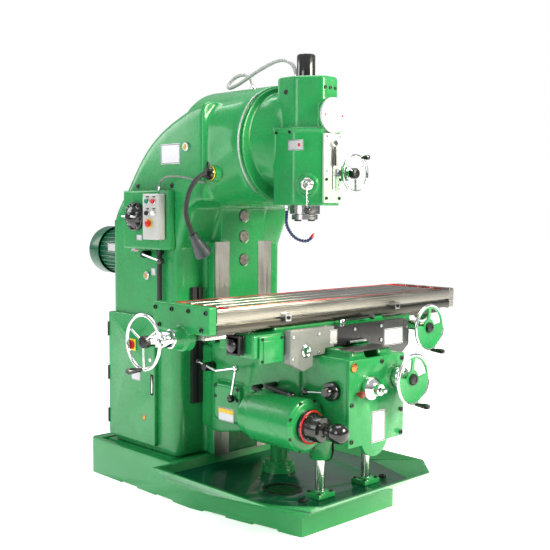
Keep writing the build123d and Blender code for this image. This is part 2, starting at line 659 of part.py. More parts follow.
# ---------------------------------------------------------------- knee
POST_X, POST_Y, POST_R = 165, -728, 23
SCREW_Y, SCREW_R = -278, 30
with BuildPart() as knee:
    # side profile: deep at the column, shallower to the front
    with BuildSketch(Plane.YZ.offset(-KNEE_HALF)):
        with BuildLine():
            Polyline((-GAP, 345), (-GAP, KNEE_TOP - 20), (-90, KNEE_TOP), (KNEE_FRONT, KNEE_TOP),
                     (KNEE_FRONT, 430), (-640, 430), (-420, 412), (-60, 345), close=True)
        make_face()
    extrude(amount=2 * KNEE_HALF)
    # narrower nose behind the apron
    for side in (-1, 1):
        with Locations((side * 232, -780, 600)):
            Box(72, 280, 600, mode=Mode.SUBTRACT)
    # dovetail on top for the saddle
    with BuildSketch(Plane.XZ.offset(120)):
        with BuildLine():
            Polyline((-130, KNEE_TOP - 1), (-148, KNEE_TOP + 30), (148, KNEE_TOP + 30), (130, KNEE_TOP - 1), close=True)
        make_face()
    extrude(amount=-KNEE_FRONT - 120 - 20)
    with Locations((0, -500, KNEE_TOP + 10)):
        Box(90, 860, 130, mode=Mode.SUBTRACT)
    # side wings carrying the keepers behind the column ways
    for side in (-1, 1):
        with BuildSketch(Plane.XY.offset(360)):
            with BuildLine():
                Polyline((side * (WAY_HALF + GAP), -2), (side * (WAY_HALF + GAP), 60.5), (side * (WAY_HALF - 14), 60.5),
                         (side * (WAY_HALF - 14), 90), (side * (KNEE_HALF - 11), 90), (side * (KNEE_HALF - 11), -2),
                         close=True)
            make_face()
        extrude(amount=430)
    # ribs and round covers on the left flank
    with BuildSketch(Plane.YZ.offset(-KNEE_HALF)):
        with Locations((-160, 520)):
            RectangleRounded(200, 190, 20)
    extrude(amount=-34)
    with BuildSketch(Plane.YZ.offset(KNEE_HALF)):
        with Locations((-330, 560)):
            RectangleRounded(360, 200, 20)
    extrude(amount=16)
    # pockets for the lifting screw and the two guide posts
    with Locations((0, SCREW_Y, 300)):
        Cylinder(46, 515, align=(Align.CENTER, Align.CENTER, Align.MIN), mode=Mode.SUBTRACT)
    with Locations((-POST_X, POST_Y, 300), (POST_X, POST_Y, 300)):
        Cylinder(POST_R + 1.5, 510, align=(Align.CENTER, Align.CENTER, Align.MIN), mode=Mode.SUBTRACT)
    # bores for the cross-feed screw and the lifting shaft
    with Locations(Location((147, KNEE_FRONT - 1, 711), (-90, 0, 0))):
        Cylinder(16.05, 120, align=(Align.CENTER, Align.CENTER, Align.MIN), mode=Mode.SUBTRACT)
    with Locations(Location((-62, KNEE_FRONT - 1, 686), (-90, 0, 0))):
        Cylinder(20.05, 90, align=(Align.CENTER, Align.CENTER, Align.MIN), mode=Mode.SUBTRACT)
knee.part.label = "knee"
export_step(knee.part, "parts/knee.step")

with BuildPart() as apron:
    with BuildSketch(Plane.XZ.offset(-KNEE_FRONT)):
        with Locations((0, (KNEE_TOP - 2 + 422) / 2)):
            Rectangle(396, KNEE_TOP - 2 - 422)
        with Locations((-12, 452)):
            Circle(96)
    extrude(amount=KNEE_FRONT - APRON_FRONT)
    with Locations(Location((147, APRON_FRONT - 1, 711), (-90, 0, 0))):
        Cylinder(16.05, 40, align=(Align.CENTER, Align.CENTER, Align.MIN), mode=Mode.SUBTRACT)
    with Locations(Location((-62, APRON_FRONT - 1, 686), (-90, 0, 0))):
        Cylinder(20.05, 40, align=(Align.CENTER, Align.CENTER, Align.MIN), mode=Mode.SUBTRACT)
apron.part.label = "apron"
export_step(apron.part, "parts/apron.step")

# feed gearbox hung on the knee's left side
FEED_X, FEED_Z = -296, 514
FEED_BACK = facing_front(FEED_X, -462, FEED_Z)
with BuildPart() as feed_gearbox:
    with Locations(FEED_BACK):
        Cylinder(126, 300, align=(Align.CENTER, Align.CENTER, Align.MIN))
    with Locations(FEED_BACK.offset(300)):
        Cylinder(112, 10, align=(Align.CENTER, Align.CENTER, Align.MIN))
    with Locations(FEED_BACK.offset(-60)):
        Cylinder(110, 60, align=(Align.CENTER, Align.CENTER, Align.MIN))
    add(knee.part, mode=Mode.SUBTRACT)
    with Locations(FEED_BACK.offset(240)):
        Cylinder(22.05, 100, align=(Align.CENTER, Align.CENTER, Align.MIN), mode=Mode.SUBTRACT)
    with BuildSketch(Plane.XY):
        with Locations((-POST_X, POST_Y), (0, SCREW_Y)):
            Circle(POST_R + 1.5)
    extrude(amount=900, mode=Mode.SUBTRACT)
feed_gearbox.part.label = "feed_gearbox"
export_step(feed_gearbox.part, "parts/feed_gearbox.step")

with BuildPart(facing_front(FEED_X, -772.4, FEED_Z)) as feed_selector:
    Cylinder(79, 26, align=(Align.CENTER, Align.CENTER, Align.MIN))
    with Locations((0, 0, 26)):
        Cylinder(60, 70, align=(Align.CENTER, Align.CENTER, Align.MIN))
    with Locations((0, 0, 96)):
        Cylinder(24, 60, align=(Align.CENTER, Align.CENTER, Align.MIN))
    with Locations((0, 0, 188)):
        Sphere(46)
    with Locations((0, 0, -70)):
        Cylinder(22, 70, align=(Align.CENTER, Align.CENTER, Align.MIN))
feed_selector.part.label = "feed_selector"
export_step(feed_selector.part, "parts/feed_selector.step")

# lifting crank socket with its dial, cross wheel with its dial and screw
with BuildPart(facing_front(-62, APRON_FRONT - 0.4, 686)) as lift_dial:
    Cylinder(54, 26, align=(Align.CENTER, Align.CENTER, Align.MIN))
    with Locations((0, 0, 26)):
        Cone(46, 30, 22, align=(Align.CENTER, Align.CENTER, Align.MIN))
    with Locations((0, 0, 48)):
        Cylinder(27, 26, align=(Align.CENTER, Align.CENTER, Align.MIN))
    with Locations((0, 0, 74)):
        Cylinder(17, 12, align=(Align.CENTER, Align.CENTER, Align.MIN), mode=Mode.SUBTRACT)
        Cylinder(11, 30, align=(Align.CENTER, Align.CENTER, Align.MIN))
    with Locations((0, 0, -80)):
        Cylinder(20, 81, align=(Align.CENTER, Align.CENTER, Align.MIN))
lift_dial.part.label = "lift_dial"
export_step(lift_dial.part, "parts/lift_dial.step")

CROSS_WHEEL = facing_front(147, -1030, 711)
with BuildPart() as cross_handwheel:
    add(crank_wheel(CROSS_WHEEL, WHEEL_R, 8, 12, 30))
    with Locations(CROSS_WHEEL.offset(-97.6)):
        Cylinder(52, 34, align=(Align.CENTER, Align.CENTER, Align.MIN))
        Cylinder(28, 70, align=(Align.CENTER, Align.CENTER, Align.MIN))
    with Locations(CROSS_WHEEL.offset(-210)):
        Cylinder(16, 120, align=(Align.CENTER, Align.CENTER, Align.MIN))
cross_handwheel.part.label = "cross_handwheel"
export_step(cross_handwheel.part, "parts/cross_handwheel.step")
cross_grip = wheel_grip(CROSS_WHEEL, WHEEL_R, 8, -88)
cross_grip.label = "cross_grip"
export_step(cross_grip, "parts/cross_grip.step")

with BuildPart(facing_left(-196.4, -836, 674)) as feed_lever:
    Cylinder(45, 34, align=(Align.CENTER, Align.CENTER, Align.MIN))
    with Locations((0, 0, 34)):
        Cylinder(24, 30, align=(Align.CENTER, Align.CENTER, Align.MIN))
    rod((0, 0, 52), (-120, -12, 64), 6)
    with Locations((-120, -12, 64)):
        Sphere(17, rotation=(0, 90, 0))
feed_lever.part.label = "feed_lever"
export_step(feed_lever.part, "parts/feed_lever.step")

with BuildPart(facing_left(-KNEE_HALF - 0.4, -20, 690)) as knee_clamp:
    Cylinder(24, 66, align=(Align.CENTER, Align.CENTER, Align.MIN))
    rod((-60, 24, 58), (90, -8, 58), 7)
    rod((90, -8, 58), (240, 24, 58), 7)
    with Locations((240, 24, 58)):
        Sphere(17)
    rod((240, 24, 58), (205, -128, 58), 7)
    with Locations((203, -134, 58)):
        Sphere(21)
knee_clamp.part.label = "knee_clamp"
export_step(knee_clamp.part, "parts/knee_clamp.step")

# ---------------------------------------------------------------- lift screw and guide posts on the base
with BuildPart() as lift_screw:
    with Locations((0, SCREW_Y, TRAY_FLOOR)):
        Cylinder(84, 34, align=(Align.CENTER, Align.CENTER, Align.MIN))
        Cylinder(70, 58, align=(Align.CENTER, Align.CENTER, Align.MIN))
        Cylinder(SCREW_R, 540, align=(Align.CENTER, Align.CENTER, Align.MIN))
        Cylinder(44, 78, align=(Align.CENTER, Align.CENTER, Align.MIN))
    fillet(lift_screw.edges().filter_by(GeomType.CIRCLE).group_by(Axis.Z)[2], 4)
lift_screw.part.label = "lift_screw"
export_step(lift_screw.part, "parts/lift_screw.step")

with BuildPart() as guide_posts:
    with Locations((-POST_X, POST_Y, TRAY_FLOOR + 30), (POST_X, POST_Y, TRAY_FLOOR + 30)):
        Cylinder(POST_R, 510, align=(Align.CENTER, Align.CENTER, Align.MIN))
guide_posts.part.label = "guide_posts"
export_step(guide_posts.part, "parts/guide_posts.step")

with BuildPart() as post_feet:
    with Locations((-POST_X, POST_Y, TRAY_FLOOR), (POST_X, POST_Y, TRAY_FLOOR)):
        Box(110, 90, 22, align=(Align.CENTER, Align.CENTER, Align.MIN))
        Cylinder(36, 30, align=(Align.CENTER, Align.CENTER, Align.MIN))
post_feet.part.label = "post_feet"
export_step(post_feet.part, "parts/post_feet.step")

# ---------------------------------------------------------------- saddle
WING_Z = (842, 948)
with BuildPart() as saddle:
    with Locations((0, -447, KNEE_TOP + GAP)):
        Box(780, 386, SADDLE_TOP - KNEE_TOP - GAP, align=(Align.CENTER, Align.CENTER, Align.MIN))
    # front beam with its wings
    with BuildSketch(Plane.XY.offset(WING_Z[0])):
        with BuildLine():
            Polyline((-560, -560), (-575, -700), (470, -700), (505, -620), (645, -620), (645, -560), close=True)
        make_face()
    extrude(amount=WING_Z[1] - WING_Z[0])
    # dovetail grooves below and above
    with BuildSketch(Plane.XZ.offset(200)):
        with BuildLine():
            Polyline((-130.6, KNEE_TOP - 1), (-149.2, KNEE_TOP + 31), (149.2, KNEE_TOP + 31), (130.6, KNEE_TOP - 1),
                     close=True)
        make_face()
    extrude(amount=560, mode=Mode.SUBTRACT)
    with BuildSketch(Plane.YZ.offset(-700)):
        with BuildLine():
            Polyline((-451 - 99.7, 970), (-451 - 119.1, 928), (-451 + 119.1, 928), (-451 + 99.7, 970), close=True)
        make_face()
    extrude(amount=1400, mode=Mode.SUBTRACT)
    # channel for the table screw, with the nut block left standing in it
    with Locations((0, -451, 928)):
        Box(900, 64, 60, mode=Mode.SUBTRACT)
    with Locations((0, -451, 895)):
        Box(110, 60, 66, align=(Align.CENTER, Align.CENTER, Align.MIN))
    with Locations(Location((0, -451, SCREW_Z), (0, 90, 0))):
        Cylinder(22.05, 300, mode=Mode.SUBTRACT)
    # bearing for the front traverse wheel
    with Locations(Location((608, -574, 893), (90, 0, 0))):
        Cylinder(40, 52, align=(Align.CENTER, Align.CENTER, Align.MIN))
    with Locations(Location((608, -550, 893), (90, 0, 0))):
        Cylinder(16.05, 180, align=(Align.CENTER, Align.CENTER, Align.MIN), mode=Mode.SUBTRACT)
saddle.part.label = "saddle"
export_step(saddle.part, "parts/saddle.step")

with BuildPart() as traverse_gearbox:
    with BuildSketch(Plane.XZ.offset(700)):
        with BuildLine():
            Polyline((-385, 958), (-385, 806), (-300, 764), (-236, 782), (-236, 830), (-153, 830), (-153, 858),
                     (153, 858), (153, 830), (232, 830), (232, 774), (420, 772),
                     (480, 815), (480, 925), (455, 950), (-60, 950), (-60, 958), close=True)
        make_face()
    extrude(amount=42)
    fillet(traverse_gearbox.edges().filter_by(Axis.Y).sort_by(Axis.X)[-4:], 12)
traverse_gearbox.part.label = "traverse_gearbox"
export_step(traverse_gearbox.part, "parts/traverse_gearbox.step")

FRONT_WHEEL = facing_front(608, -778, 893)
with BuildPart() as front_handwheel:
    add(crank_wheel(FRONT_WHEEL, WHEEL_R, 8, 12, 40))
    with Locations(FRONT_WHEEL.offset(-150)):
        Cylinder(29, 80, align=(Align.CENTER, Align.CENTER, Align.MIN))
    with Locations(FRONT_WHEEL.offset(-200)):
        Cylinder(16, 170, align=(Align.CENTER, Align.CENTER, Align.MIN))
front_handwheel.part.label = "front_handwheel"
export_step(front_handwheel.part, "parts/front_handwheel.step")
front_grip = wheel_grip(FRONT_WHEEL, WHEEL_R, 8, -88)
front_grip.label = "front_grip"
export_step(front_grip, "parts/front_grip.step")

with BuildPart(Plane.XY.offset(WING_Z[1] + 0.4)) as table_lock:
    with Locations((30, -680, 0)):
        Cylinder(15, 26, align=(Align.CENTER, Align.CENTER, Align.MIN))
    rod((30, -680, 20), (238, -694, 24), 5.5)
    with Locations((238, -694, 24)):
        Sphere(15)
table_lock.part.label = "table_lock"
export_step(table_lock.part, "parts/table_lock.step")

# ---------------------------------------------------------------- table
TABLE_BOTTOM = TABLE_TOP - TABLE_THICK
GUTTER = 24
with BuildPart() as table:
    with Locations((TABLE_X, -451, TABLE_BOTTOM)):
        Box(TABLE_LENGTH, TABLE_WIDTH, TABLE_THICK, align=(Align.CENTER, Align.CENTER, Align.MIN))
    # dovetail rails under the table, split for the screw
    with BuildSketch(Plane.YZ.offset(TABLE_X - TABLE_LENGTH / 2)):
        with BuildLine():
            Polyline((-451 - 100, TABLE_BOTTOM), (-451 - 118, 929), (-451 + 118, 929), (-451 + 100, TABLE_BOTTOM),
                     close=True)
        make_face()
    extrude(amount=TABLE_LENGTH)
    with Locations((TABLE_X, -451, 929)):
        Box(TABLE_LENGTH, 68, 100, mode=Mode.SUBTRACT)
    # coolant gutter round the working surface
    with BuildSketch(Plane.XY.offset(TABLE_TOP)):
        with Locations((TABLE_X, -451)):
            Rectangle(TABLE_LENGTH - 28, TABLE_WIDTH - 16)
            Rectangle(TABLE_LENGTH - 190, TABLE_WIDTH - 16 - 2 * GUTTER, mode=Mode.SUBTRACT)
    extrude(amount=-14, mode=Mode.SUBTRACT)
    # three T-slots
    with BuildSketch(Plane.YZ.offset(TABLE_X - TABLE_LENGTH / 2)):
        for step in (-1, 0, 1):
            with Locations((-451 + step * TSLOT_PITCH, TABLE_TOP)):
                Rectangle(TSLOT_WIDTH, 60)
            with Locations((-451 + step * TSLOT_PITCH, TABLE_TOP - 30 - 7)):
                Rectangle(30, 14)
    extrude(amount=TABLE_LENGTH, mode=Mode.SUBTRACT)
    # slot for the trip dogs along the front edge
    with BuildSketch(Plane.YZ.offset(TABLE_X - TABLE_LENGTH / 2)):
        with Locations((-651, 1009)):
            Rectangle(24, 9)
        with Locations((-651 + 16, 1009)):
            Rectangle(9, 18)
    extrude(amount=TABLE_LENGTH, mode=Mode.SUBTRACT)
table.part.label = "table"
export_step(table.part, "parts/table.step")

TABLE_LEFT = TABLE_X - TABLE_LENGTH / 2
TABLE_RIGHT = TABLE_X + TABLE_LENGTH / 2


def end_bracket(x_face, direction, top):
    """Bracket closing one table end and carrying the screw in its hub."""
    with BuildPart() as bracket:
        with BuildSketch(Plane.YZ.offset(x_face)):
            with Locations((-451, (top + 960) / 2)):
                RectangleRounded(396, top - 960, 8)
            with Locations((-451, SCREW_Z)):
                Circle(62)
        extrude(amount=45 * direction)
        with Locations(Location((x_face, -451, SCREW_Z), (0, 90 * direction, 0))):
            Cone(62, 44, 100, align=(Align.CENTER, Align.CENTER, Align.MIN))
            Cylinder(22.05, 110, align=(Align.CENTER, Align.CENTER, Align.MIN), mode=Mode.SUBTRACT)
    return bracket.part


left_bracket = end_bracket(TABLE_LEFT, -1, TABLE_TOP + 12)
left_bracket.label = "left_bracket"
export_step(left_bracket, "parts/left_bracket.step")
right_bracket = end_bracket(TABLE_RIGHT, 1, TABLE_TOP - 1)
right_bracket.label = "right_bracket"
export_step(right_bracket, "parts/right_bracket.step")

with BuildPart() as table_screw:
    with Locations(Plane(origin=(TABLE_LEFT - 150, -451, SCREW_Z), z_dir=(1, 0, 0))):
        Cylinder(22, TABLE_LENGTH + 245, align=(Align.CENTER, Align.CENTER, Align.MIN))
table_screw.part.label = "table_screw"
export_step(table_screw.part, "parts/table_screw.step")

TABLE_WHEEL = facing_left(-985, -451, SCREW_Z)
with BuildPart() as table_handwheel:
    add(open_wheel(TABLE_WHEEL, WHEEL_R, 8, 12, 90))
    with Locations(TABLE_WHEEL.offset(-143)):
        Cylinder(36, 52, align=(Align.CENTER, Align.CENTER, Align.MIN))
        Cylinder(30, 80, align=(Align.CENTER, Align.CENTER, Align.MIN))
    with Locations(Plane(origin=(TABLE_LEFT - 151, -451, SCREW_Z), z_dir=(1, 0, 0))):
        Cylinder(22, 200, align=(Align.CENTER, Align.CENTER, Align.MIN), mode=Mode.SUBTRACT)
table_handwheel.part.label = "table_handwheel"
export_step(table_handwheel.part, "parts/table_handwheel.step")
table_grip = wheel_grip(TABLE_WHEEL, WHEEL_R, 8, -88)
table_grip.label = "table_grip"
export_step(table_grip, "parts/table_grip.step")

with BuildPart() as trip_dogs:
    with Locations((-330, -662, 1009), (470, -662, 1009)):
        Box(36, 22, 34)
trip_dogs.part.label = "trip_dogs"
export_step(trip_dogs.part, "parts/trip_dogs.step")
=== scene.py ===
"""Vertical milling machine: finished pieces, materials and stage over the machine's frame."""
from math import cos, pi, radians, sin

import bmesh
import bpy
from mathutils import Matrix, Vector


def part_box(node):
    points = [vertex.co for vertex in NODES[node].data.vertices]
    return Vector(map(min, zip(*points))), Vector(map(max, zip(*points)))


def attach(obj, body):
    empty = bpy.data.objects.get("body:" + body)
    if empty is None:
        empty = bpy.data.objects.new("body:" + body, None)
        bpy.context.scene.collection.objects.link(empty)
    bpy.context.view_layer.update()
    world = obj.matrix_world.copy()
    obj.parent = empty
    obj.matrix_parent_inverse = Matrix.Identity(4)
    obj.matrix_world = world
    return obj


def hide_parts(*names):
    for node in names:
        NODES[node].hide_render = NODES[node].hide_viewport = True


bl_info = {
    "name": "Vertical milling machine",
    "version": (1, 0, 0),
    "blender": (4, 5, 0),
    "location": "View3D > Sidebar > Mill",
    "description": "Builds the finished pieces of a knee-type vertical milling machine",
    "category": "Add Mesh",
}

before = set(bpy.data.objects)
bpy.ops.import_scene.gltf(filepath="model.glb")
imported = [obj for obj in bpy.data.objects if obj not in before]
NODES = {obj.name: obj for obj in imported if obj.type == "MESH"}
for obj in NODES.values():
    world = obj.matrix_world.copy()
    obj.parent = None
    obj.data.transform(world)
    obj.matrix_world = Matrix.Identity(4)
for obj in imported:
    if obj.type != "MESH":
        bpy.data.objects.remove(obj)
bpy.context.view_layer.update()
UP = Vector((0, 0, 1))
FRONT = Vector((0, -1, 0))
LEFT = Vector((-1, 0, 0))


# ---------------------------------------------------------------- settings
class MillSizes(bpy.types.PropertyGroup):
    """Sizes that shape the finished pieces."""
    casting_voxel: bpy.props.FloatProperty(
        name="Casting detail", description="Cell size used to soften the castings",
        default=0.007, min=0.003, max=0.03, unit="LENGTH")
    casting_rounds: bpy.props.IntProperty(
        name="Casting softness", description="How often cast edges are rounded", default=5, min=0,
        max=30)
    rim_radius: bpy.props.FloatProperty(
        name="Wheel rim", description="Outside radius of the three large handwheels",
        default=0.125, unit="LENGTH")
    rim_tube: bpy.props.FloatProperty(
        name="Rim thickness", description="Half the thickness of a wheel rim", default=0.0085,
        unit="LENGTH")
    grip_length: bpy.props.FloatProperty(
        name="Grip length", description="Length of a handwheel grip", default=0.084, unit="LENGTH")


class MillColours(bpy.types.PropertyGroup):
    """Colours of the finishes."""
    green: bpy.props.FloatVectorProperty(
        name="Green enamel", description="Body paint", subtype="COLOR", size=3,
        default=(0.014, 0.24, 0.062))
    deep_green: bpy.props.FloatVectorProperty(
        name="Deep green", description="Motor paint", subtype="COLOR", size=3,
        default=(0.002, 0.095, 0.04))
    pale_green: bpy.props.FloatVectorProperty(
        name="Pale green", description="Lower front plate of the head", subtype="COLOR", size=3,
        default=(0.36, 0.56, 0.38))
    gear_grey: bpy.props.FloatVectorProperty(
        name="Gear case grey", description="Traverse gear case", subtype="COLOR", size=3,
        default=(0.19, 0.2, 0.19))
    gutter_red: bpy.props.FloatVectorProperty(
        name="Gutter red", description="Paint inside the table gutter", subtype="COLOR", size=3,
        default=(0.75, 0.022, 0.01))
    signal_red: bpy.props.FloatVectorProperty(
        name="Signal red", description="Stop buttons and knobs", subtype="COLOR", size=3,
        default=(0.5, 0.012, 0.012))
    signal_yellow: bpy.props.FloatVectorProperty(
        name="Signal yellow", description="Isolator plate", subtype="COLOR", size=3,
        default=(0.75, 0.5, 0.02))


def sizes():
    """Size settings of the current scene"""
    return bpy.context.scene.mill_sizes


def colours():
    """Colour settings of the current scene"""
    return bpy.context.scene.mill_colours


# ---------------------------------------------------------------- shader effects
def effect_group(name, inputs, outputs):
    """Empty node group with its named sockets, returned with its nodes in and out"""
    tree = bpy.data.node_groups.new(name, "ShaderNodeTree")
    for label, kind, value in inputs:
        socket = tree.interface.new_socket(name=label, in_out="INPUT", socket_type=kind)
        socket.default_value = value
    for label, kind in outputs:
        tree.interface.new_socket(name=label, in_out="OUTPUT", socket_type=kind)
    return tree, tree.nodes.new("NodeGroupInput"), tree.nodes.new("NodeGroupOutput")


def add_node(tree, kind, values=None, **links):
    """Shader node with its plain values and its linked inputs; an input is named or numbered as i0, i1."""
    node = tree.nodes.new(kind)
    for key, value in (values or {}).items():
        if isinstance(key, str) and hasattr(node, key):
            setattr(node, key, value)
        else:
            node.inputs[key].default_value = value
    for key, source in links.items():
        name = int(key[1:]) if key[0] == "i" and key[1:].isdigit() else key.replace("_", " ")
        tree.links.new(source, node.inputs[name])
    return node


def remap(tree, source, low, high, out_low, out_high):
    """Map Range node from one range of values to another"""
    node = add_node(tree, "ShaderNodeMapRange",
                    {"From Min": low, "From Max": high, "To Min": out_low, "To Max": out_high},
                    Value=source)
    return node.outputs[0]


def blend_colour(tree, factor, first, second, mode="MIX"):
    """Mix of two colours; each is an output to link or a plain colour."""
    node = tree.nodes.new("ShaderNodeMix")
    node.data_type = "RGBA"
    node.blend_type = mode
    tree.links.new(factor, node.inputs[0])
    for slot, value in ((6, first), (7, second)):
        if isinstance(value, bpy.types.NodeSocket):
            tree.links.new(value, node.inputs[slot])
        else:
            node.inputs[slot].default_value = (*value[:3], 1)
    return node.outputs[2]


def enamel_group():
    """Sprayed enamel on cast iron: slow tone changes, filler ripple, orange peel and soiling"""
    name = "Enamel surface"
    if name in bpy.data.node_groups:
        return bpy.data.node_groups[name]
    tree, put, out = effect_group(
        name,
        [("Colour", "NodeSocketColor", (0.02, 0.27, 0.08, 1)), ("Tone change", "NodeSocketFloat", 0.12),
         ("Peel", "NodeSocketFloat", 0.25), ("Soiling", "NodeSocketFloat", 0.25),
         ("Gloss", "NodeSocketFloat", 0.28)],
        [("Colour", "NodeSocketColor"), ("Roughness", "NodeSocketFloat"),
         ("Normal", "NodeSocketVector")])
    where = add_node(tree, "ShaderNodeTexCoord").outputs["Object"]
    slow = add_node(tree, "ShaderNodeTexNoise", {"Scale": 3.2, "Detail": 4.0}, Vector=where).outputs[0]
    cloud = add_node(tree, "ShaderNodeTexNoise", {"Scale": 17.0, "Detail": 6.0, "Roughness": 0.62},
                     Vector=where).outputs[0]
    speck = add_node(tree, "ShaderNodeTexNoise", {"Scale": 140.0, "Detail": 3.0},
                     Vector=where).outputs[0]
    low = add_node(tree, "ShaderNodeMath", {"operation": "SUBTRACT", 0: 1.0},
                   i1=put.outputs["Tone change"]).outputs[0]
    tone = add_node(tree, "ShaderNodeMapRange", {"From Min": 0.3, "From Max": 0.7, "To Max": 1.06},
                    Value=slow, To_Min=low).outputs[0]
    toned = add_node(tree, "ShaderNodeVectorMath", {"operation": "SCALE"}, i0=put.outputs["Colour"],
                     Scale=tone).outputs[0]
    dirt = remap(tree, cloud, 0.52, 0.78, 0.0, 1.0)
    dirt = add_node(tree, "ShaderNodeMath", {"operation": "MULTIPLY"}, i0=dirt,
                    i1=put.outputs["Soiling"]).outputs[0]
    tree.links.new(blend_colour(tree, dirt, toned, (0.022, 0.06, 0.03)), out.inputs["Colour"])
    streak = remap(tree, cloud, 0.35, 0.7, -0.05, 0.1)
    rough = add_node(tree, "ShaderNodeMath", {"operation": "ADD"}, i0=put.outputs["Gloss"],
                     i1=streak).outputs[0]
    tree.links.new(rough, out.inputs["Roughness"])
    ripple = add_node(tree, "ShaderNodeTexNoise", {"Scale": 24.0, "Detail": 1.0},
                      Vector=where).outputs[0]
    height = add_node(tree, "ShaderNodeMath", {"operation": "MULTIPLY_ADD", 1: 0.22}, i0=speck,
                      i2=ripple).outputs[0]
    bump = add_node(tree, "ShaderNodeBump", {"Distance": 0.0016}, Height=height,
                    Strength=put.outputs["Peel"])
    tree.links.new(bump.outputs[0], out.inputs["Normal"])
    return tree


def machined_group():
    """Ground, turned or scraped metal: fine lines along one direction and stains"""
    name = "Machined surface"
    if name in bpy.data.node_groups:
        return bpy.data.node_groups[name]
    tree, put, out = effect_group(
        name,
        [("Colour", "NodeSocketColor", (0.5, 0.5, 0.5, 1)),
         ("Line scale", "NodeSocketVector", (4, 300, 300)),
         ("Line depth", "NodeSocketFloat", 0.2), ("Stain", "NodeSocketFloat", 0.3),
         ("Gloss", "NodeSocketFloat", 0.25)],
        [("Colour", "NodeSocketColor"), ("Roughness", "NodeSocketFloat"),
         ("Normal", "NodeSocketVector")])
    where = add_node(tree, "ShaderNodeTexCoord").outputs["Object"]
    stretched = add_node(tree, "ShaderNodeVectorMath", {"operation": "MULTIPLY"}, i0=where,
                         i1=put.outputs["Line scale"]).outputs[0]
    lines = add_node(tree, "ShaderNodeTexNoise", {"Scale": 1.0, "Detail": 5.0},
                     Vector=stretched).outputs[0]
    patch = add_node(tree, "ShaderNodeTexNoise", {"Scale": 9.0, "Detail": 5.0}, Vector=where).outputs[0]
    stained = remap(tree, patch, 0.45, 0.75, 0.0, 1.0)
    stained = add_node(tree, "ShaderNodeMath", {"operation": "MULTIPLY"}, i0=stained,
                       i1=put.outputs["Stain"]).outputs[0]
    shade = remap(tree, lines, 0.3, 0.7, 0.82, 1.1)
    lined = add_node(tree, "ShaderNodeVectorMath", {"operation": "SCALE"}, i0=put.outputs["Colour"],
                     Scale=shade).outputs[0]
    tree.links.new(blend_colour(tree, stained, lined, (0.16, 0.15, 0.13)), out.inputs["Colour"])
    spread = remap(tree, lines, 0.3, 0.7, -0.06, 0.12)
    rough = add_node(tree, "ShaderNodeMath", {"operation": "ADD"}, i0=put.outputs["Gloss"],
                     i1=spread).outputs[0]
    tree.links.new(rough, out.inputs["Roughness"])
    bump = add_node(tree, "ShaderNodeBump", {"Distance": 0.0004}, Height=lines,
                    Strength=put.outputs["Line depth"])
    tree.links.new(bump.outputs[0], out.inputs["Normal"])
    return tree


def moulded_group():
    """Moulded plastic and rubber: faint mottling, a fine grain and handled patches."""
    name = "Moulded surface"
    if name in bpy.data.node_groups:
        return bpy.data.node_groups[name]
    tree, put, out = effect_group(
        name,
        [("Colour", "NodeSocketColor", (0.02, 0.02, 0.02, 1)), ("Grain", "NodeSocketFloat", 0.15),
         ("Gloss", "NodeSocketFloat", 0.25)],
        [("Colour", "NodeSocketColor"), ("Roughness", "NodeSocketFloat"),
         ("Normal", "NodeSocketVector")])
    where = add_node(tree, "ShaderNodeTexCoord").outputs["Object"]
    mottled = add_node(tree, "ShaderNodeTexNoise", {"Scale": 40.0, "Detail": 4.0},
                       Vector=where).outputs[0]
    fine = add_node(tree, "ShaderNodeTexNoise", {"Scale": 900.0, "Detail": 2.0},
                    Vector=where).outputs[0]
    shade = remap(tree, mottled, 0.3, 0.7, 0.85, 1.15)
    tree.links.new(add_node(tree, "ShaderNodeVectorMath", {"operation": "SCALE"},
                            i0=put.outputs["Colour"],
                            Scale=shade).outputs[0], out.inputs["Colour"])
    spread = remap(tree, mottled, 0.35, 0.7, -0.04, 0.12)
    rough = add_node(tree, "ShaderNodeMath", {"operation": "ADD"}, i0=put.outputs["Gloss"],
                     i1=spread).outputs[0]
    tree.links.new(rough, out.inputs["Roughness"])
    bump = add_node(tree, "ShaderNodeBump", {"Distance": 0.0003}, Height=fine,
                    Strength=put.outputs["Grain"])
    tree.links.new(bump.outputs[0], out.inputs["Normal"])
    return tree


def band_group():
    """Mask that is 1 inside a box of the row frame, with a soft border."""
    name = "Region mask"
    if name in bpy.data.node_groups:
        return bpy.data.node_groups[name]
    tree, put, out = effect_group(
        name, [("Low", "NodeSocketVector", (0, 0, 0)), ("High", "NodeSocketVector", (1, 1, 1))],
        [("Mask", "NodeSocketFloat")])
    where = add_node(tree, "ShaderNodeTexCoord").outputs["Object"]
    above = add_node(tree, "ShaderNodeVectorMath", {"operation": "SUBTRACT"}, i0=where,
                     i1=put.outputs["Low"])
    below = add_node(tree, "ShaderNodeVectorMath", {"operation": "SUBTRACT"}, i0=put.outputs["High"],
                     i1=where)
    least = add_node(tree, "ShaderNodeVectorMath", {"operation": "MINIMUM"}, i0=above.outputs[0],
                     i1=below.outputs[0]).outputs[0]
    axes = add_node(tree, "ShaderNodeSeparateXYZ", i0=least)
    first = add_node(tree, "ShaderNodeMath", {"operation": "MINIMUM"}, i0=axes.outputs[0],
                     i1=axes.outputs[1])
    both = add_node(tree, "ShaderNodeMath", {"operation": "MINIMUM"}, i0=first.outputs[0],
                    i1=axes.outputs[2])
    tree.links.new(remap(tree, both.outputs[0], 0.0, 0.0006, 0.0, 1.0), out.inputs["Mask"])
    return tree


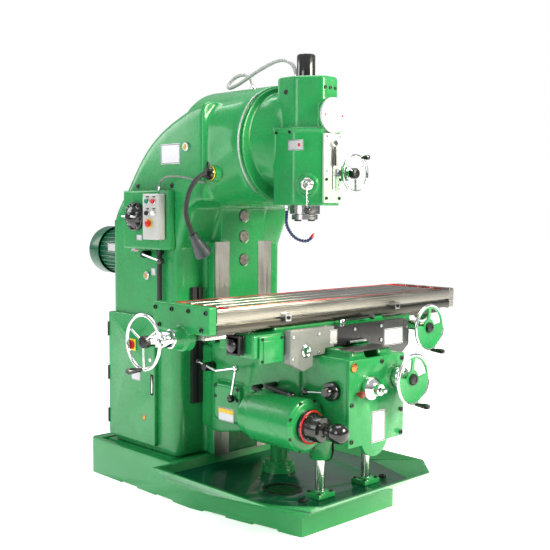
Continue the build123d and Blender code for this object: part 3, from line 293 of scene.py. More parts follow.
# ---------------------------------------------------------------- materials
def surfaced(name, group, values, regions=(), **constants):
    """Material whose Principled shader takes colour, roughness and normal from an effect group.

    regions are boxes of the row frame with a colour of their own; constants are set on the shader itself."""
    if name in bpy.data.materials:
        return bpy.data.materials[name]
    material = bpy.data.materials.new(name)
    material.use_nodes = True
    tree = material.node_tree
    shader = tree.nodes["Principled BSDF"]
    effect = tree.nodes.new("ShaderNodeGroup")
    effect.node_tree = group
    for key, value in values.items():
        effect.inputs[key].default_value = (*value, 1) if key == "Colour" else value
    colour = effect.outputs["Colour"]
    for low, high, tint in regions:
        mask = tree.nodes.new("ShaderNodeGroup")
        mask.node_tree = band_group()
        mask.inputs["Low"].default_value = low
        mask.inputs["High"].default_value = high
        colour = blend_colour(tree, mask.outputs["Mask"], colour, tint)
    tree.links.new(colour, shader.inputs["Base Color"])
    tree.links.new(effect.outputs["Roughness"], shader.inputs["Roughness"])
    tree.links.new(effect.outputs["Normal"], shader.inputs["Normal"])
    for key, value in constants.items():
        shader.inputs[key.replace("_", " ")].default_value = value
    material.diffuse_color = (*values["Colour"], 1)
    return material


def enamel(name, colour, gloss=0.24, peel=0.3, soiling=0.22, tone=0.14, regions=()):
    """Painted casting"""
    return surfaced(name, enamel_group(), {"Colour": colour, "Tone change": tone, "Peel": peel,
                                           "Soiling": soiling, "Gloss": gloss}, regions,
                    Coat_Weight=0.18, Coat_Roughness=0.1, Specular_IOR_Level=0.35)


def metal(name, colour, gloss=0.22, lines=(4, 300, 300), depth=0.2, stain=0.2, regions=()):
    """Machined metal with brushed lines and stains"""
    return surfaced(name, machined_group(), {"Colour": colour, "Line scale": lines, "Line depth": depth,
                                             "Stain": stain, "Gloss": gloss}, regions, Metallic=1.0)


def moulded(name, colour, gloss=0.25, grain=0.15, regions=(), **constants):
    """Plastic or rubber with a fine grain"""
    return surfaced(name, moulded_group(), {"Colour": colour, "Grain": grain, "Gloss": gloss}, regions,
                    **constants)


def green_enamel():
    """Machine paint"""
    return enamel("Green enamel", tuple(colours().green))


def deep_green():
    """Darker paint of the motor"""
    return enamel("Deep green enamel", tuple(colours().deep_green), gloss=0.3)


def chrome():
    """Bright plating"""
    return metal("Chrome", (0.78, 0.79, 0.8), gloss=0.07, lines=(60, 60, 60), depth=0.03, stain=0.05)


def turned_steel():
    """Steel turned on a lathe"""
    return metal("Turned steel", (0.6, 0.6, 0.6), gloss=0.2, lines=(30, 30, 600), depth=0.15,
                 stain=0.15)


def oiled_iron():
    """Ground iron with a film of oil"""
    return metal("Ground iron", (0.42, 0.41, 0.39), gloss=0.26, lines=(5, 240, 240), depth=0.2,
                 stain=0.35)


def black_gloss():
    """Shiny black plastic"""
    return moulded("Black phenolic", (0.006, 0.006, 0.007), gloss=0.16, grain=0.03, Coat_Weight=0.4)


def black_satin():
    """Dull black plastic"""
    return moulded("Black satin", (0.008, 0.008, 0.009), gloss=0.5, grain=0.3)


def white_plate():
    """Blank plate"""
    return metal("White plate", (0.62, 0.63, 0.65), gloss=0.45, lines=(200, 200, 200), depth=0.05,
                 stain=0.06)


def signal_red():
    """Red of warning parts"""
    return moulded("Signal red", tuple(colours().signal_red), gloss=0.2, grain=0.04)


def dark_screw():
    """Blackened screw"""
    return metal("Blackened screw", (0.05, 0.05, 0.05), gloss=0.34, lines=(90, 90, 90), depth=0.2,
                 stain=0.2)


# ---------------------------------------------------------------- mesh helpers
def place(mesh, name, material, body, node=None, smooth=True):
    """Puts a finished mesh in the scene on its body; node is the frame node that it stands for."""
    obj = bpy.data.objects.new(name, mesh)
    bpy.context.collection.objects.link(obj)
    if material is not None:
        mesh.materials.clear()
        mesh.materials.append(material)
    if smooth:
        mesh.shade_smooth()
        mesh.set_sharp_from_angle(angle=radians(38))
    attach(obj, body)
    if node:
        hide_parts(*([node] if isinstance(node, str) else node))
    return obj


def finish_mesh(bm, name):
    """Mesh data from a bmesh, with the bmesh freed"""
    mesh = bpy.data.meshes.new(name)
    bmesh.ops.recalc_face_normals(bm, faces=bm.faces)
    bm.to_mesh(mesh)
    bm.free()
    return mesh


def applied(mesh, name, *modifiers):
    """Mesh with a stack of modifiers worked into it; each is a kind and its settings."""
    obj = bpy.data.objects.new(name + "_work", mesh)
    bpy.context.collection.objects.link(obj)
    for kind, settings in modifiers:
        modifier = obj.modifiers.new(kind, kind)
        for key, value in settings.items():
            setattr(modifier, key, value)
    graph = bpy.context.evaluated_depsgraph_get()
    result = bpy.data.meshes.new_from_object(obj.evaluated_get(graph))
    bpy.data.objects.remove(obj)
    return result


def axes_for(direction, up=UP):
    """Matrix turning local z to direction, with local y as near to up as it can be."""
    z = Vector(direction).normalized()
    helper = up if abs(z.dot(up)) < 0.95 else Vector((0, 1, 0))
    x = helper.cross(z).normalized()
    return Matrix((x, z.cross(x), z)).transposed().to_4x4()


def seat(origin, direction, up=UP):
    """Matrix whose Z axis points along direction at origin"""
    return Matrix.Translation(Vector(origin)) @ axes_for(direction, up)


def lathe_mesh(profile, matrix, steps=48, into=None):
    """Turned solid: profile is (radius, height) from one end of the axis to the other."""
    bm = into or bmesh.new()
    rings = []
    for radius, height in profile:
        if radius < 1e-6:
            rings.append([bm.verts.new(matrix @ Vector((0, 0, height)))])
        else:
            rings.append([bm.verts.new(matrix @ Vector((radius * cos(2 * pi * k / steps),
                                                        radius * sin(2 * pi * k / steps), height)))
                          for k in range(steps)])
    for low, high in zip(rings, rings[1:]):
        for k in range(steps):
            n = (k + 1) % steps
            corners = [low[k % len(low)], low[n % len(low)], high[n % len(high)], high[k % len(high)]]
            corners = [v for i, v in enumerate(corners) if v not in corners[:i]]
            if len(corners) > 2:
                bm.faces.new(corners)
    return bm


def turned(name, profile, origin, direction, material, body, node=None, steps=48):
    """Piece turned from a profile of radius and height"""
    bm = lathe_mesh([(r, h) for r, h in profile], seat(origin, direction), steps)
    return place(finish_mesh(bm, name), name, material, body, node)


def block_into(bm, matrix, size, rounding=0.002, segments=2):
    """Adds a block with rounded edges."""
    made = bmesh.ops.create_cube(bm, size=1.0, matrix=matrix @ Matrix.Diagonal((*size, 1)))
    edges = {e for v in made["verts"] for e in v.link_edges}
    if rounding > 0:
        bmesh.ops.bevel(bm, geom=list(edges), offset=rounding, segments=segments, affect="EDGES",
                        profile=0.5)


def blocks(name, items, material, body, node=None, rounding=0.002):
    """One piece made of rounded blocks; each item is a matrix or a centre, and a size."""
    bm = bmesh.new()
    for where, size in items:
        matrix = where if isinstance(where, Matrix) else Matrix.Translation(Vector(where))
        block_into(bm, matrix, size, min(rounding, min(size) * 0.45))
    return place(finish_mesh(bm, name), name, material, body, node)


def screw_profile(radius, height):
    """Outline of a socket head screw"""
    return [(0, 0), (radius, 0), (radius, height * 0.85), (radius * 0.88, height),
            (radius * 0.52, height), (radius * 0.52, height * 0.45), (0, height * 0.45)]


def screws(name, spots, direction, radius, height, material, body, steps=20):
    """Socket-head screws standing on a face, all in one piece."""
    bm = bmesh.new()
    for spot in spots:
        lathe_mesh(screw_profile(radius, height), seat(spot, direction), steps, bm)
    return place(finish_mesh(bm, name), name, material, body)


def bars(name, runs, radius, material, body, node=None):
    """Round bars, each between two points or tapering if a second radius is given."""
    bm = bmesh.new()
    for run in runs:
        start, end = Vector(run[0]), Vector(run[1])
        first, last = (run[2], run[3]) if len(run) > 3 else (radius, radius)
        length = (end - start).length
        lathe_mesh([(0, 0), (first, 0), (last, length), (0, length)], seat(start, end - start), 24, bm)
    return place(finish_mesh(bm, name), name, material, body, node)


def knob(name, centre, radius, direction, material, body):
    """Ball knob with a flat where it screws on to its lever."""
    profile = [(0, -radius * 1.02), (radius * 0.42, -radius * 1.02)]
    profile += [(radius * sin(a), -radius * cos(a)) for a in (radians(d) for d in range(28, 180, 8))]
    profile.append((0, radius))
    return turned(name, profile, centre, direction, material, body, steps=40)


def smooth_route(points):
    """Points read from a smooth NURBS spline led by the route's points."""
    curve = bpy.data.curves.new("route", "CURVE")
    curve.dimensions = "3D"
    spline = curve.splines.new("NURBS")
    spline.points.add(len(points) - 1)
    for point, where in zip(spline.points, points):
        point.co = (*where, 1)
    spline.order_u = 3
    spline.use_endpoint_u = True
    spline.resolution_u = 24
    obj = bpy.data.objects.new("route", curve)
    bpy.context.collection.objects.link(obj)
    mesh = bpy.data.meshes.new_from_object(obj.evaluated_get(bpy.context.evaluated_depsgraph_get()))
    line = [v.co.copy() for v in mesh.vertices]
    bpy.data.objects.remove(obj)
    return line


def ribbed_hose(name, points, crest, groove, pitch, material, body, node=None, steps=20):
    """Hose with ribs along a smooth route."""
    line = smooth_route(points)
    travelled = [0.0]
    for a, b in zip(line, line[1:]):
        travelled.append(travelled[-1] + (b - a).length)
    count = max(2, round(travelled[-1] / pitch)) * 4
    bm = bmesh.new()
    rings = []
    side = None
    index = 0
    for k in range(count + 1):
        s = travelled[-1] * k / count
        while index < len(line) - 2 and travelled[index + 1] < s:
            index += 1
        share = (s - travelled[index]) / max(travelled[index + 1] - travelled[index], 1e-9)
        centre = line[index].lerp(line[index + 1], share)
        ahead = (line[min(index + 2, len(line) - 1)] - line[max(index - 1, 0)]).normalized()
        if side is None:
            side = ahead.orthogonal().normalized()
        side = (side - ahead * side.dot(ahead)).normalized()
        over = ahead.cross(side)
        radius = crest if k % 4 in (1, 2) else groove
        rings.append([bm.verts.new(centre
                                  + (side * cos(2 * pi * j / steps)
                                     + over * sin(2 * pi * j / steps)) * radius)
                      for j in range(steps)])
    for low, high in zip(rings, rings[1:]):
        for j in range(steps):
            bm.faces.new((low[j], low[(j + 1) % steps], high[(j + 1) % steps], high[j]))
    bm.faces.new(rings[0])
    bm.faces.new(rings[-1])
    return place(finish_mesh(bm, name), name, material, body, node)


def softened(node, name, material, body, voxel=None, rounds=None):
    """Casting with soft edges, made over its frame node."""
    cell = voxel or sizes().casting_voxel
    mesh = applied(NODES[node].data.copy(), name,
                   ("REMESH", {"mode": "VOXEL", "voxel_size": cell}),
                   ("SMOOTH", {"factor": 0.5,
                               "iterations": sizes().casting_rounds if rounds is None else rounds}))
    mesh.shade_smooth()
    return place(mesh, name, material, body, node, smooth=False)


def edged(node, name, material, body, width=0.002, angle=32):
    """Machined piece with small chamfered edges, made over its frame node."""
    mesh = applied(NODES[node].data.copy(), name,
                   ("WELD", {"merge_threshold": 0.00005}),
                   ("DECIMATE", {"decimate_type": "DISSOLVE", "angle_limit": radians(0.5)}),
                   ("BEVEL", {"width": width, "segments": 2, "limit_method": "ANGLE",
                              "angle_limit": radians(angle), "use_clamp_overlap": True}))
    return place(mesh, name, material, body, node)


def dress(node, material):
    """Gives a frame node its finish."""
    obj = NODES[node]
    if not obj.material_slots:
        obj.data.materials.append(material)
    for holder in obj.material_slots:
        holder.material = material


def ring_ticks(name, centre, axis, radius, count, size, material, body, start=0.0, sweep=360.0,
               along=0.0, tall=5):
    """Graduation lines round a dial: small raised marks, every fifth one longer."""
    bm = bmesh.new()
    base = seat(centre, axis)
    for k in range(count):
        angle = radians(start + sweep * k / count)
        length = size[1] * (1.6 if k % tall == 0 else 1.0)
        turn = Matrix.Rotation(angle, 4, "Z")
        local = Matrix.Translation((radius, 0, along + length / 2))
        block_into(bm, base @ turn @ local, (size[2], size[0], length), 0)
    return place(finish_mesh(bm, name), name, material, body)


def name_plate(name, centre, direction, width, height, body, screws_at=True, tint=None):
    """Blank riveted plate with a raised border."""
    face = tint or white_plate()
    base = seat(centre, direction)
    bm = bmesh.new()
    block_into(bm, base @ Matrix.Translation((0, 0, 0.0005)), (width, height, 0.0016), 0.0005, 1)
    piece = place(finish_mesh(bm, name), name, face, body)
    border = bmesh.new()
    edge = min(width, height) * 0.04 + 0.0008
    for dx, dy, w, h in ((0, height / 2 - edge, width - edge, edge * 0.6),
                         (0, -height / 2 + edge, width - edge, edge * 0.6),
                         (width / 2 - edge, 0, edge * 0.6, height - 2 * edge),
                         (-width / 2 + edge, 0, edge * 0.6, height - 2 * edge)):
        block_into(border, base @ Matrix.Translation((dx, dy, 0.0014)), (w, h, 0.0006), 0)
    place(finish_mesh(border, name + "_border"), name + "_border", dark_screw(), body)
    if screws_at:
        spots = [base @ Vector((sx * (width / 2 - 2.4 * edge), sy * (height / 2 - 2.4 * edge), 0.0012))
                 for sx in (-1, 1) for sy in (-1, 1)]
        screws(name + "_rivets", spots, direction, min(0.003, edge * 0.9), 0.0014, chrome(), body, 12)
    return piece


# ---------------------------------------------------------------- pieces
class MILL_OT_base(bpy.types.Operator):
    """Base casting with its tray, pads and sump screen"""
    bl_idname = "mill.base"
    bl_label = "Base and tray"

    def execute(self, context):
        # The box over the tray floor paints it near-black green: painted shade under the knee, saddle and table.
        paint = enamel("Base enamel", tuple(colours().green), gloss=0.18, peel=0.15, soiling=0.08,
                       regions=[
            ((-0.56, -0.95, 0.14), (0.56, 0.06, 0.1525), (0.003, 0.06, 0.028))])
        edged("base", "Base_casting", paint, "frame", width=0.003)
        screws("Anchor_nuts", [(x, y, z) for x in (-0.29, 0.29) for y, z in ((-0.735, 0.1505),)], UP,
               0.019, 0.014, dark_screw(), "frame", 6)
        bm = bmesh.new()
        hole = Matrix.Translation((-0.215, -0.526, 0.149))
        lathe_mesh([(0.084, 0), (0.094, 0), (0.094, 0.003), (0.084, 0.003), (0.084, 0)], hole, 48, bm)
        for k in range(-4, 5):
            reach = (0.085 ** 2 - (k * 0.018) ** 2) ** 0.5
            block_into(bm, hole @ Matrix.Translation((k * 0.018, 0, 0.001)), (0.004, 2 * reach, 0.003),
                       0)
        place(finish_mesh(bm, "Sump_screen"), "Sump_screen", dark_screw(), "frame")
        return {"FINISHED"}


class MILL_OT_column(bpy.types.Operator):
    """Column casting, guideways, sight glasses, swivel scale and plates"""
    bl_idname = "mill.column"
    bl_label = "Column"

    def execute(self, context):
        softened("column", "Column_casting", green_enamel(), "frame", voxel=0.009, rounds=8)
        dress("column_ways", metal("Ground ways", (0.36, 0.355, 0.34), gloss=0.3, lines=(240, 240, 4),
                                   depth=0.35,
                                   stain=0.5))
        dress("stop_rail", black_satin())
        dress("oil_plugs", metal("Plug steel", (0.2, 0.19, 0.17), gloss=0.3, lines=(80, 80, 80),
                                 stain=0.5))
        for index, (y, z) in enumerate(((0.019, 1.816), (0.355, 1.147))):
            turned(f"Sight_{index}", [(0, 0), (0.0225, 0), (0.0225, 0.009), (0.019, 0.012),
                                      (0.014, 0.012),
                                      (0.014, 0.009), (0, 0.009)], (-0.375, y, z), LEFT, turned_steel(),
                                      "frame",
                   "oil_sights" if index == 0 else None)
            turned(f"Sight_glass_{index}",
                   [(0, 0.0), (0.0138, 0.0), (0.0138, 0.0105), (0.009, 0.0118), (0, 0.012)],
                   (-0.375, y, z), LEFT, moulded("Oil amber", (0.42, 0.24, 0.03), gloss=0.06,
                                                 grain=0.0), "frame")
        scale = bmesh.new()
        middle, radius = Vector((0, 0, 1.830)), 0.2985
        steps = 48
        rows = []
        for k in range(steps + 1):
            a = radians(125 + 110 * k / steps)
            out = Vector((cos(a), 0, sin(a)))
            rows.append([scale.verts.new(middle + out * r + Vector((0, y, 0)))
                         for r, y in ((radius, -0.2895), (radius + 0.001, -0.2895),
                                      (radius + 0.001, -0.279),
                                      (radius, -0.279))])
        for low, high in zip(rows, rows[1:]):
            for j in range(4):
                scale.faces.new((low[j], low[(j + 1) % 4], high[(j + 1) % 4], high[j]))
        scale.faces.new(rows[0])
        scale.faces.new(rows[-1])
        place(finish_mesh(scale, "Swivel_scale"), "Swivel_scale", white_plate(), "frame")
        ring_ticks("Swivel_marks", (0, -0.2895, 1.830), (0, 1, 0), radius + 0.0012, 74,
                   (0.0011, 0.006, 0.0006),
                   dark_screw(), "frame", start=-55, sweep=110)
        name_plate("Data_plate", (-0.3754, 0.152, 1.785), LEFT, 0.16, 0.104, "frame")
        name_plate("Small_plate", (-0.3754, 0.30, 1.17), LEFT, 0.04, 0.04, "frame")
        name_plate("Red_white_plate", (-0.3754, 0.470, 1.292), LEFT, 0.064, 0.042, "frame", False)
        turned("Red_white_dot", [(0, 0), (0.014, 0), (0.014, 0.001), (0, 0.001)],
               (-0.3762, 0.456, 1.292), LEFT, signal_red(),
               "frame")
        screws("Column_plugs", [(-0.375, 0.438, 1.624), (-0.375, 0.140, 1.624)], LEFT, 0.013, 0.004,
               dark_screw(),
               "frame", 24)
        turned("Arm_plug", [(0, 0), (0.024, 0), (0.024, 0.006), (0.018, 0.009), (0, 0.009)],
               (-0.348, -0.105, 1.72), LEFT, black_gloss(), "frame")
        return {"FINISHED"}


class MILL_OT_motor(bpy.types.Operator):
    """Main motor and its fan cover on the back of the column"""
    bl_idname = "mill.motor"
    bl_label = "Main motor"

    def execute(self, context):
        edged("main_motor", "Motor_body", deep_green(), "frame", width=0.0012)
        low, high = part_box("motor_fan_cover")
        centre = (low + high) / 2
        depth = high.y - low.y
        turned("Fan_cover", [(0.1405, 0), (0.1405, depth * 0.72), (0.134, depth * 0.9),
                             (0.118, depth - 0.001),
                             (0.05, depth), (0, depth), (0, depth - 0.004), (0.115, depth - 0.006),
                             (0.136, depth * 0.7), (0.136, 0), (0.1405, 0)],
               (centre.x, low.y, centre.z), (0, 1, 0), deep_green(), "frame", "motor_fan_cover", 64)
        # Black blocks on the end of the fan cover: painted shade standing in for its vent openings.
        slots = []
        for ring, count in ((0.035, 8), (0.06, 12), (0.085, 18), (0.108, 22)):
            for k in range(count):
                turn = seat((centre.x, high.y - 0.0012, centre.z),
                            (0, 1, 0)) @ Matrix.Rotation(2 * pi * k / count, 4, "Z")
                slots.append((turn @ Matrix.Translation((ring, 0, 0)), (0.018, 0.006, 0.003)))
        blocks("Fan_slots", slots, black_satin(), "frame", rounding=0.001)
        name_plate("Motor_plate", (centre.x - 0.1315, 0.84, centre.z + 0.02), LEFT, 0.09, 0.05, "frame")
        return {"FINISHED"}


class MILL_OT_controls(bpy.types.Operator):
    """Speed box with its panel, buttons, dial and range lever"""
    bl_idname = "mill.controls"
    bl_label = "Controls"

    def execute(self, context):
        softened("speed_box", "Speed_box_casting", green_enamel(), "frame", voxel=0.005, rounds=3)
        edged("control_panel", "Panel_casing",
              enamel("Panel grey", (0.45, 0.46, 0.44), gloss=0.35, soiling=0.12), "frame",
              width=0.003)
        finish = {
            "start_button": moulded("Start green", (0.01, 0.2, 0.12), gloss=0.2),
            "stop_button": signal_red(),
            "jog_button": black_gloss(),
            "brake_button": moulded("Button white", (0.75, 0.75, 0.72), gloss=0.25),
        }
        for node, material in finish.items():
            low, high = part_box(node)
            y, z = (low.y + high.y) / 2, (low.z + high.z) / 2
            body = node.replace("_button", "_press")
            turned("Cap_" + node, [(0, 0), (0.0088, 0), (0.0088, 0.02), (0.0122, 0.0202),
                                   (0.0126, 0.0255),
                                   (0.0112, 0.0284), (0.0095, 0.0284), (0.0085, 0.0274), (0, 0.0272)],
                   (high.x, y, z), LEFT, material, body, node, 32)
            turned("Bezel_" + node, [(0.0105, 0), (0.0165, 0), (0.0165, 0.003), (0.0145, 0.0055),
                                     (0.0131, 0.0055),
                                     (0.0131, 0.001), (0.0105, 0)], (-0.4681, y, z), LEFT,
                                     turned_steel(), "frame", steps=32)
        low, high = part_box("emergency_button")
        y, z = (low.y + high.y) / 2, (low.z + high.z) / 2
        turned("Emergency_cap", [(0, 0), (0.0088, 0), (0.0088, 0.026), (0.014, 0.0264),
                                 (0.0205, 0.0268), (0.021, 0.029),
                                 (0.0195, 0.0325), (0.014, 0.0346), (0, 0.0349)], (high.x, y, z), LEFT,
                                 signal_red(),
               "emergency_press", "emergency_button", 40)
        turned("Emergency_ring", [(0.0105, 0), (0.025, 0), (0.025, 0.0018), (0.0105, 0.0018),
                                  (0.0105, 0)],
               (-0.4681, y, z), LEFT, moulded("Ring yellow", tuple(colours().signal_yellow), gloss=0.3),
               "frame", steps=40)
        blocks("Panel_legends", [((-0.4683, 0.198 + s * 0.027, zz), (0.0012, 0.026, 0.006))
                                 for s in (-1, 1) for zz in (1.565, 1.504)], dark_screw(), "frame",
                                 rounding=0.0003)
        screws("Panel_screws", [(-0.468, 0.198 + sy * 0.06, 1.462 + sz * 0.109) for sy in (-1,
                1) for sz in (-1, 1)],
               LEFT, 0.0045, 0.003, chrome(), "frame", 16)
        centre = Vector((-0.4465, 0.352, 1.462))
        dial = [(0, 0), (0.075, 0), (0.0758, 0.004), (0.0758, 0.018), (0.072, 0.0218), (0.06, 0.0222),
                (0.057, 0.03),
                (0.046, 0.037), (0.034, 0.0415), (0.0165, 0.0425), (0.0165, 0.06), (0.0145, 0.0632),
                (0, 0.0632)]
        turned("Speed_dial", dial, centre, LEFT, black_gloss(), "speed_selector", "speed_dial", 72)
        base = seat(centre, LEFT)
        blocks("Speed_pointer", [(base @ Matrix.Translation((0, 0, 0.05)), (0.128, 0.011, 0.011))],
               chrome(),
               "speed_selector", rounding=0.004)
        arms = []
        for k in range(6):
            turn = Matrix.Rotation(2 * pi * k / 6 + 0.3, 4, "Z")
            arms.append((base @ turn @ Matrix.Translation((0.052, 0, 0.028)), (0.038, 0.016, 0.016)))
        blocks("Speed_dial_lobes", arms, black_gloss(), "speed_selector", rounding=0.006)
        ring_ticks("Speed_marks", centre + Vector((-0.0225, 0, 0)), LEFT, 0.0665, 18,
                   (0.0022, 0.0006, 0.009),
                   white_plate(), "speed_selector")
        pivot = Vector((-0.3755, 0.335, 1.262))
        turned("Range_hub", [(0, 0), (0.02, 0), (0.02, 0.038), (0.0165, 0.049), (0, 0.0495)], pivot,
               LEFT, dark_screw(),
               "range_lever", "shift_lever", 32)
        tip = Vector((-0.421, 0.177, 1.233))
        start = Vector((-0.419, 0.335, 1.262))
        bars("Range_rod", [(start, tip)], 0.0066, chrome(), "range_lever")
        knob("Range_knob", tip, 0.0188, tip - start, black_gloss(), "range_lever")
        turned("Conduit_pipe", [(0, 0), (0.0175, 0), (0.0175, 0.022), (0.0125, 0.026), (0.0125, 0.312),
                                (0.0175, 0.315),
                                (0.0175, 0.339), (0, 0.34)], (-0.395, 0.222, 0.949), UP,
               black_satin(), "frame",
               "cabinet_conduit", 28)
        name_plate("Dial_plate", (-0.4445, 0.33, 1.352), LEFT, 0.05, 0.03, "frame", False)
        return {"FINISHED"}


class MILL_OT_cabinet(bpy.types.Operator):
    """Electrical cabinet door with hinges, latch and isolator"""
    bl_idname = "mill.cabinet"
    bl_label = "Cabinet door"

    def execute(self, context):
        yellow = tuple(colours().signal_yellow)
        # The yellow box is the isolator plate. The near-black box behind the door pull is painted shade standing in
        # for a finger recess.
        material = enamel("Door enamel", tuple(colours().green), regions=[
            ((-0.42, 0.4205, 0.7345), (-0.4, 0.4835, 0.7975), yellow),
            ((-0.405, 0.27, 0.51), (-0.38, 0.30, 0.623), (0.01, 0.012, 0.01))])
        edged("cabinet_door", "Door_panel", material, "door", width=0.003)
        turned("Isolator_base", [(0, 0), (0.0228, 0), (0.0228, 0.008), (0.02, 0.0118), (0, 0.0118)],
               (-0.4083, 0.452, 0.766), LEFT, signal_red(), "isolator", "isolator_knob", 40)
        blocks("Isolator_handle", [((-0.4325, 0.452, 0.766), (0.025, 0.0145, 0.06))], signal_red(),
               "isolator",
               rounding=0.005)
        bm = bmesh.new()
        for z in (0.34, 0.583, 0.83):
            lathe_mesh([(0, -0.04), (0.0065, -0.04), (0.0065, -0.001), (0.0058, -0.0006),
                        (0.0058, 0.0006),
                        (0.0065, 0.001), (0.0065, 0.04), (0, 0.04)],
                        Matrix.Translation((-0.4005, 0.6885, z)), 20, bm)
        place(finish_mesh(bm, "Door_hinges"), "Door_hinges", dark_screw(), "door")
        blocks("Door_pull", [((-0.3985, 0.285, 0.567), (0.006, 0.009, 0.094))], chrome(), "door",
               rounding=0.002)
        turned("Door_lock", [(0, 0), (0.011, 0), (0.011, 0.002), (0.004, 0.003), (0, 0.003)],
               (-0.3995, 0.30, 0.70), LEFT,
               chrome(), "door", steps=24)
        name_plate("Door_plate", (-0.3999, 0.429, 0.603), LEFT, 0.085, 0.06, "door", False)
        name_plate("Door_sign", (-0.3999, 0.355, 0.38), LEFT, 0.026, 0.026, "door", False,
                   moulded("Sign orange", (0.7, 0.24, 0.02), gloss=0.4))
        return {"FINISHED"}


class MILL_OT_lamp(bpy.types.Operator):
    """Work lamp on its gooseneck"""
    bl_idname = "mill.lamp"
    bl_label = "Work lamp"

    def execute(self, context):
        dress("lamp_mount", green_enamel())
        route = [(-0.381, -0.150, 1.680), (-0.425, -0.142, 1.668), (-0.458, -0.118, 1.612),
                 (-0.470, -0.092, 1.530),
                 (-0.448, -0.070, 1.448), (-0.400, -0.056, 1.382)]
        ribbed_hose("Gooseneck", route, 0.0125, 0.0108, 0.010, black_satin(), "frame", "lamp_arm")
        turned("Lamp_puck", [(0, 0), (0.0335, 0), (0.0335, 0.018), (0.029, 0.0258), (0.012, 0.0262),
                             (0.012, 0.034),
                             (0, 0.034)], (-0.355, -0.150, 1.680), LEFT, black_gloss(), "frame",
                             steps=48)
        turned("Lamp_puck_ring", [(0.0337, 0.004), (0.0352, 0.004), (0.0352, 0.009), (0.0337, 0.009),
                                  (0.0337, 0.004)],
               (-0.355, -0.150, 1.680), LEFT,
               moulded("Ring yellow", tuple(colours().signal_yellow), gloss=0.3), "frame")
        down = Vector((78, 12, -100)).normalized()
        head = Vector((-0.3965, -0.0555, 1.3775))
        turned("Lamp_shade", [(0, 0), (0.017, 0), (0.0225, 0.004), (0.0238, 0.010), (0.0238, 0.032),
                              (0.0255, 0.036),
                              (0.030, 0.055), (0.0395, 0.095), (0.0462, 0.1225), (0.0468, 0.1258),
                              (0.0452, 0.1258),
                              (0.0435, 0.122), (0.037, 0.094), (0.028, 0.062), (0, 0.060)], head, down,
               moulded("Shade grey", (0.035, 0.045, 0.05), gloss=0.32), "frame", "lamp_shade", 56)
        turned("Lamp_bulb", [(0, 0.061), (0.012, 0.062), (0.018, 0.072), (0.0215, 0.085),
                             (0.019, 0.097), (0.011, 0.105),
                             (0, 0.107)], head, down,
                             moulded("Bulb glass", (0.85, 0.84, 0.78), gloss=0.1), "frame")
        return {"FINISHED"}


class MILL_OT_cables(bpy.types.Operator):
    """Cable to the lamp and the conduit over the head"""
    bl_idname = "mill.cables"
    bl_label = "Cables"

    def execute(self, context):
        dress("lamp_cable", moulded("Cable grey", (0.16, 0.17, 0.16), gloss=0.4))
        route = [(-0.010, -0.392, 2.148), (-0.010, -0.392, 2.190), (-0.006, -0.350, 2.240),
                 (0.002, -0.270, 2.262),
                 (-0.006, -0.190, 2.244), (-0.018, -0.090, 2.206), (-0.024, 0.020, 2.160),
                 (-0.022, 0.108, 2.142),
                 (0, 0.128, 2.178), (0.020, 0.080, 2.216), (0.022, 0.010, 2.216),
                 (0.004, -0.050, 2.190),
                 (0, -0.064, 2.131)]
        ribbed_hose("Head_conduit", route, 0.0098, 0.0088, 0.007,
                    moulded("Conduit grey", (0.36, 0.37, 0.37), gloss=0.22), "frame",
                    "head_conduit")
        for index, (where, body) in enumerate((((-0.010, -0.392, 2.1468), "milling_head"),
                                               ((0, -0.064, 2.1285), "frame"))):
            turned(f"Gland_{index}", [(0.0098, 0), (0.018, 0), (0.018, 0.010), (0.0145, 0.013),
                                      (0.0145, 0.024),
                                      (0.0098, 0.024), (0.0098, 0)], where, UP, turned_steel(), body,
                                      steps=12)
        turned("Cable_gland", [(0.0055, 0), (0.013, 0), (0.013, 0.012), (0.009, 0.016), (0.009, 0.022),
                               (0.0055, 0.022),
                               (0.0055, 0)], (-0.410, 0.2, 1.5985), UP, turned_steel(), "frame",
                               steps=12)
        return {"FINISHED"}


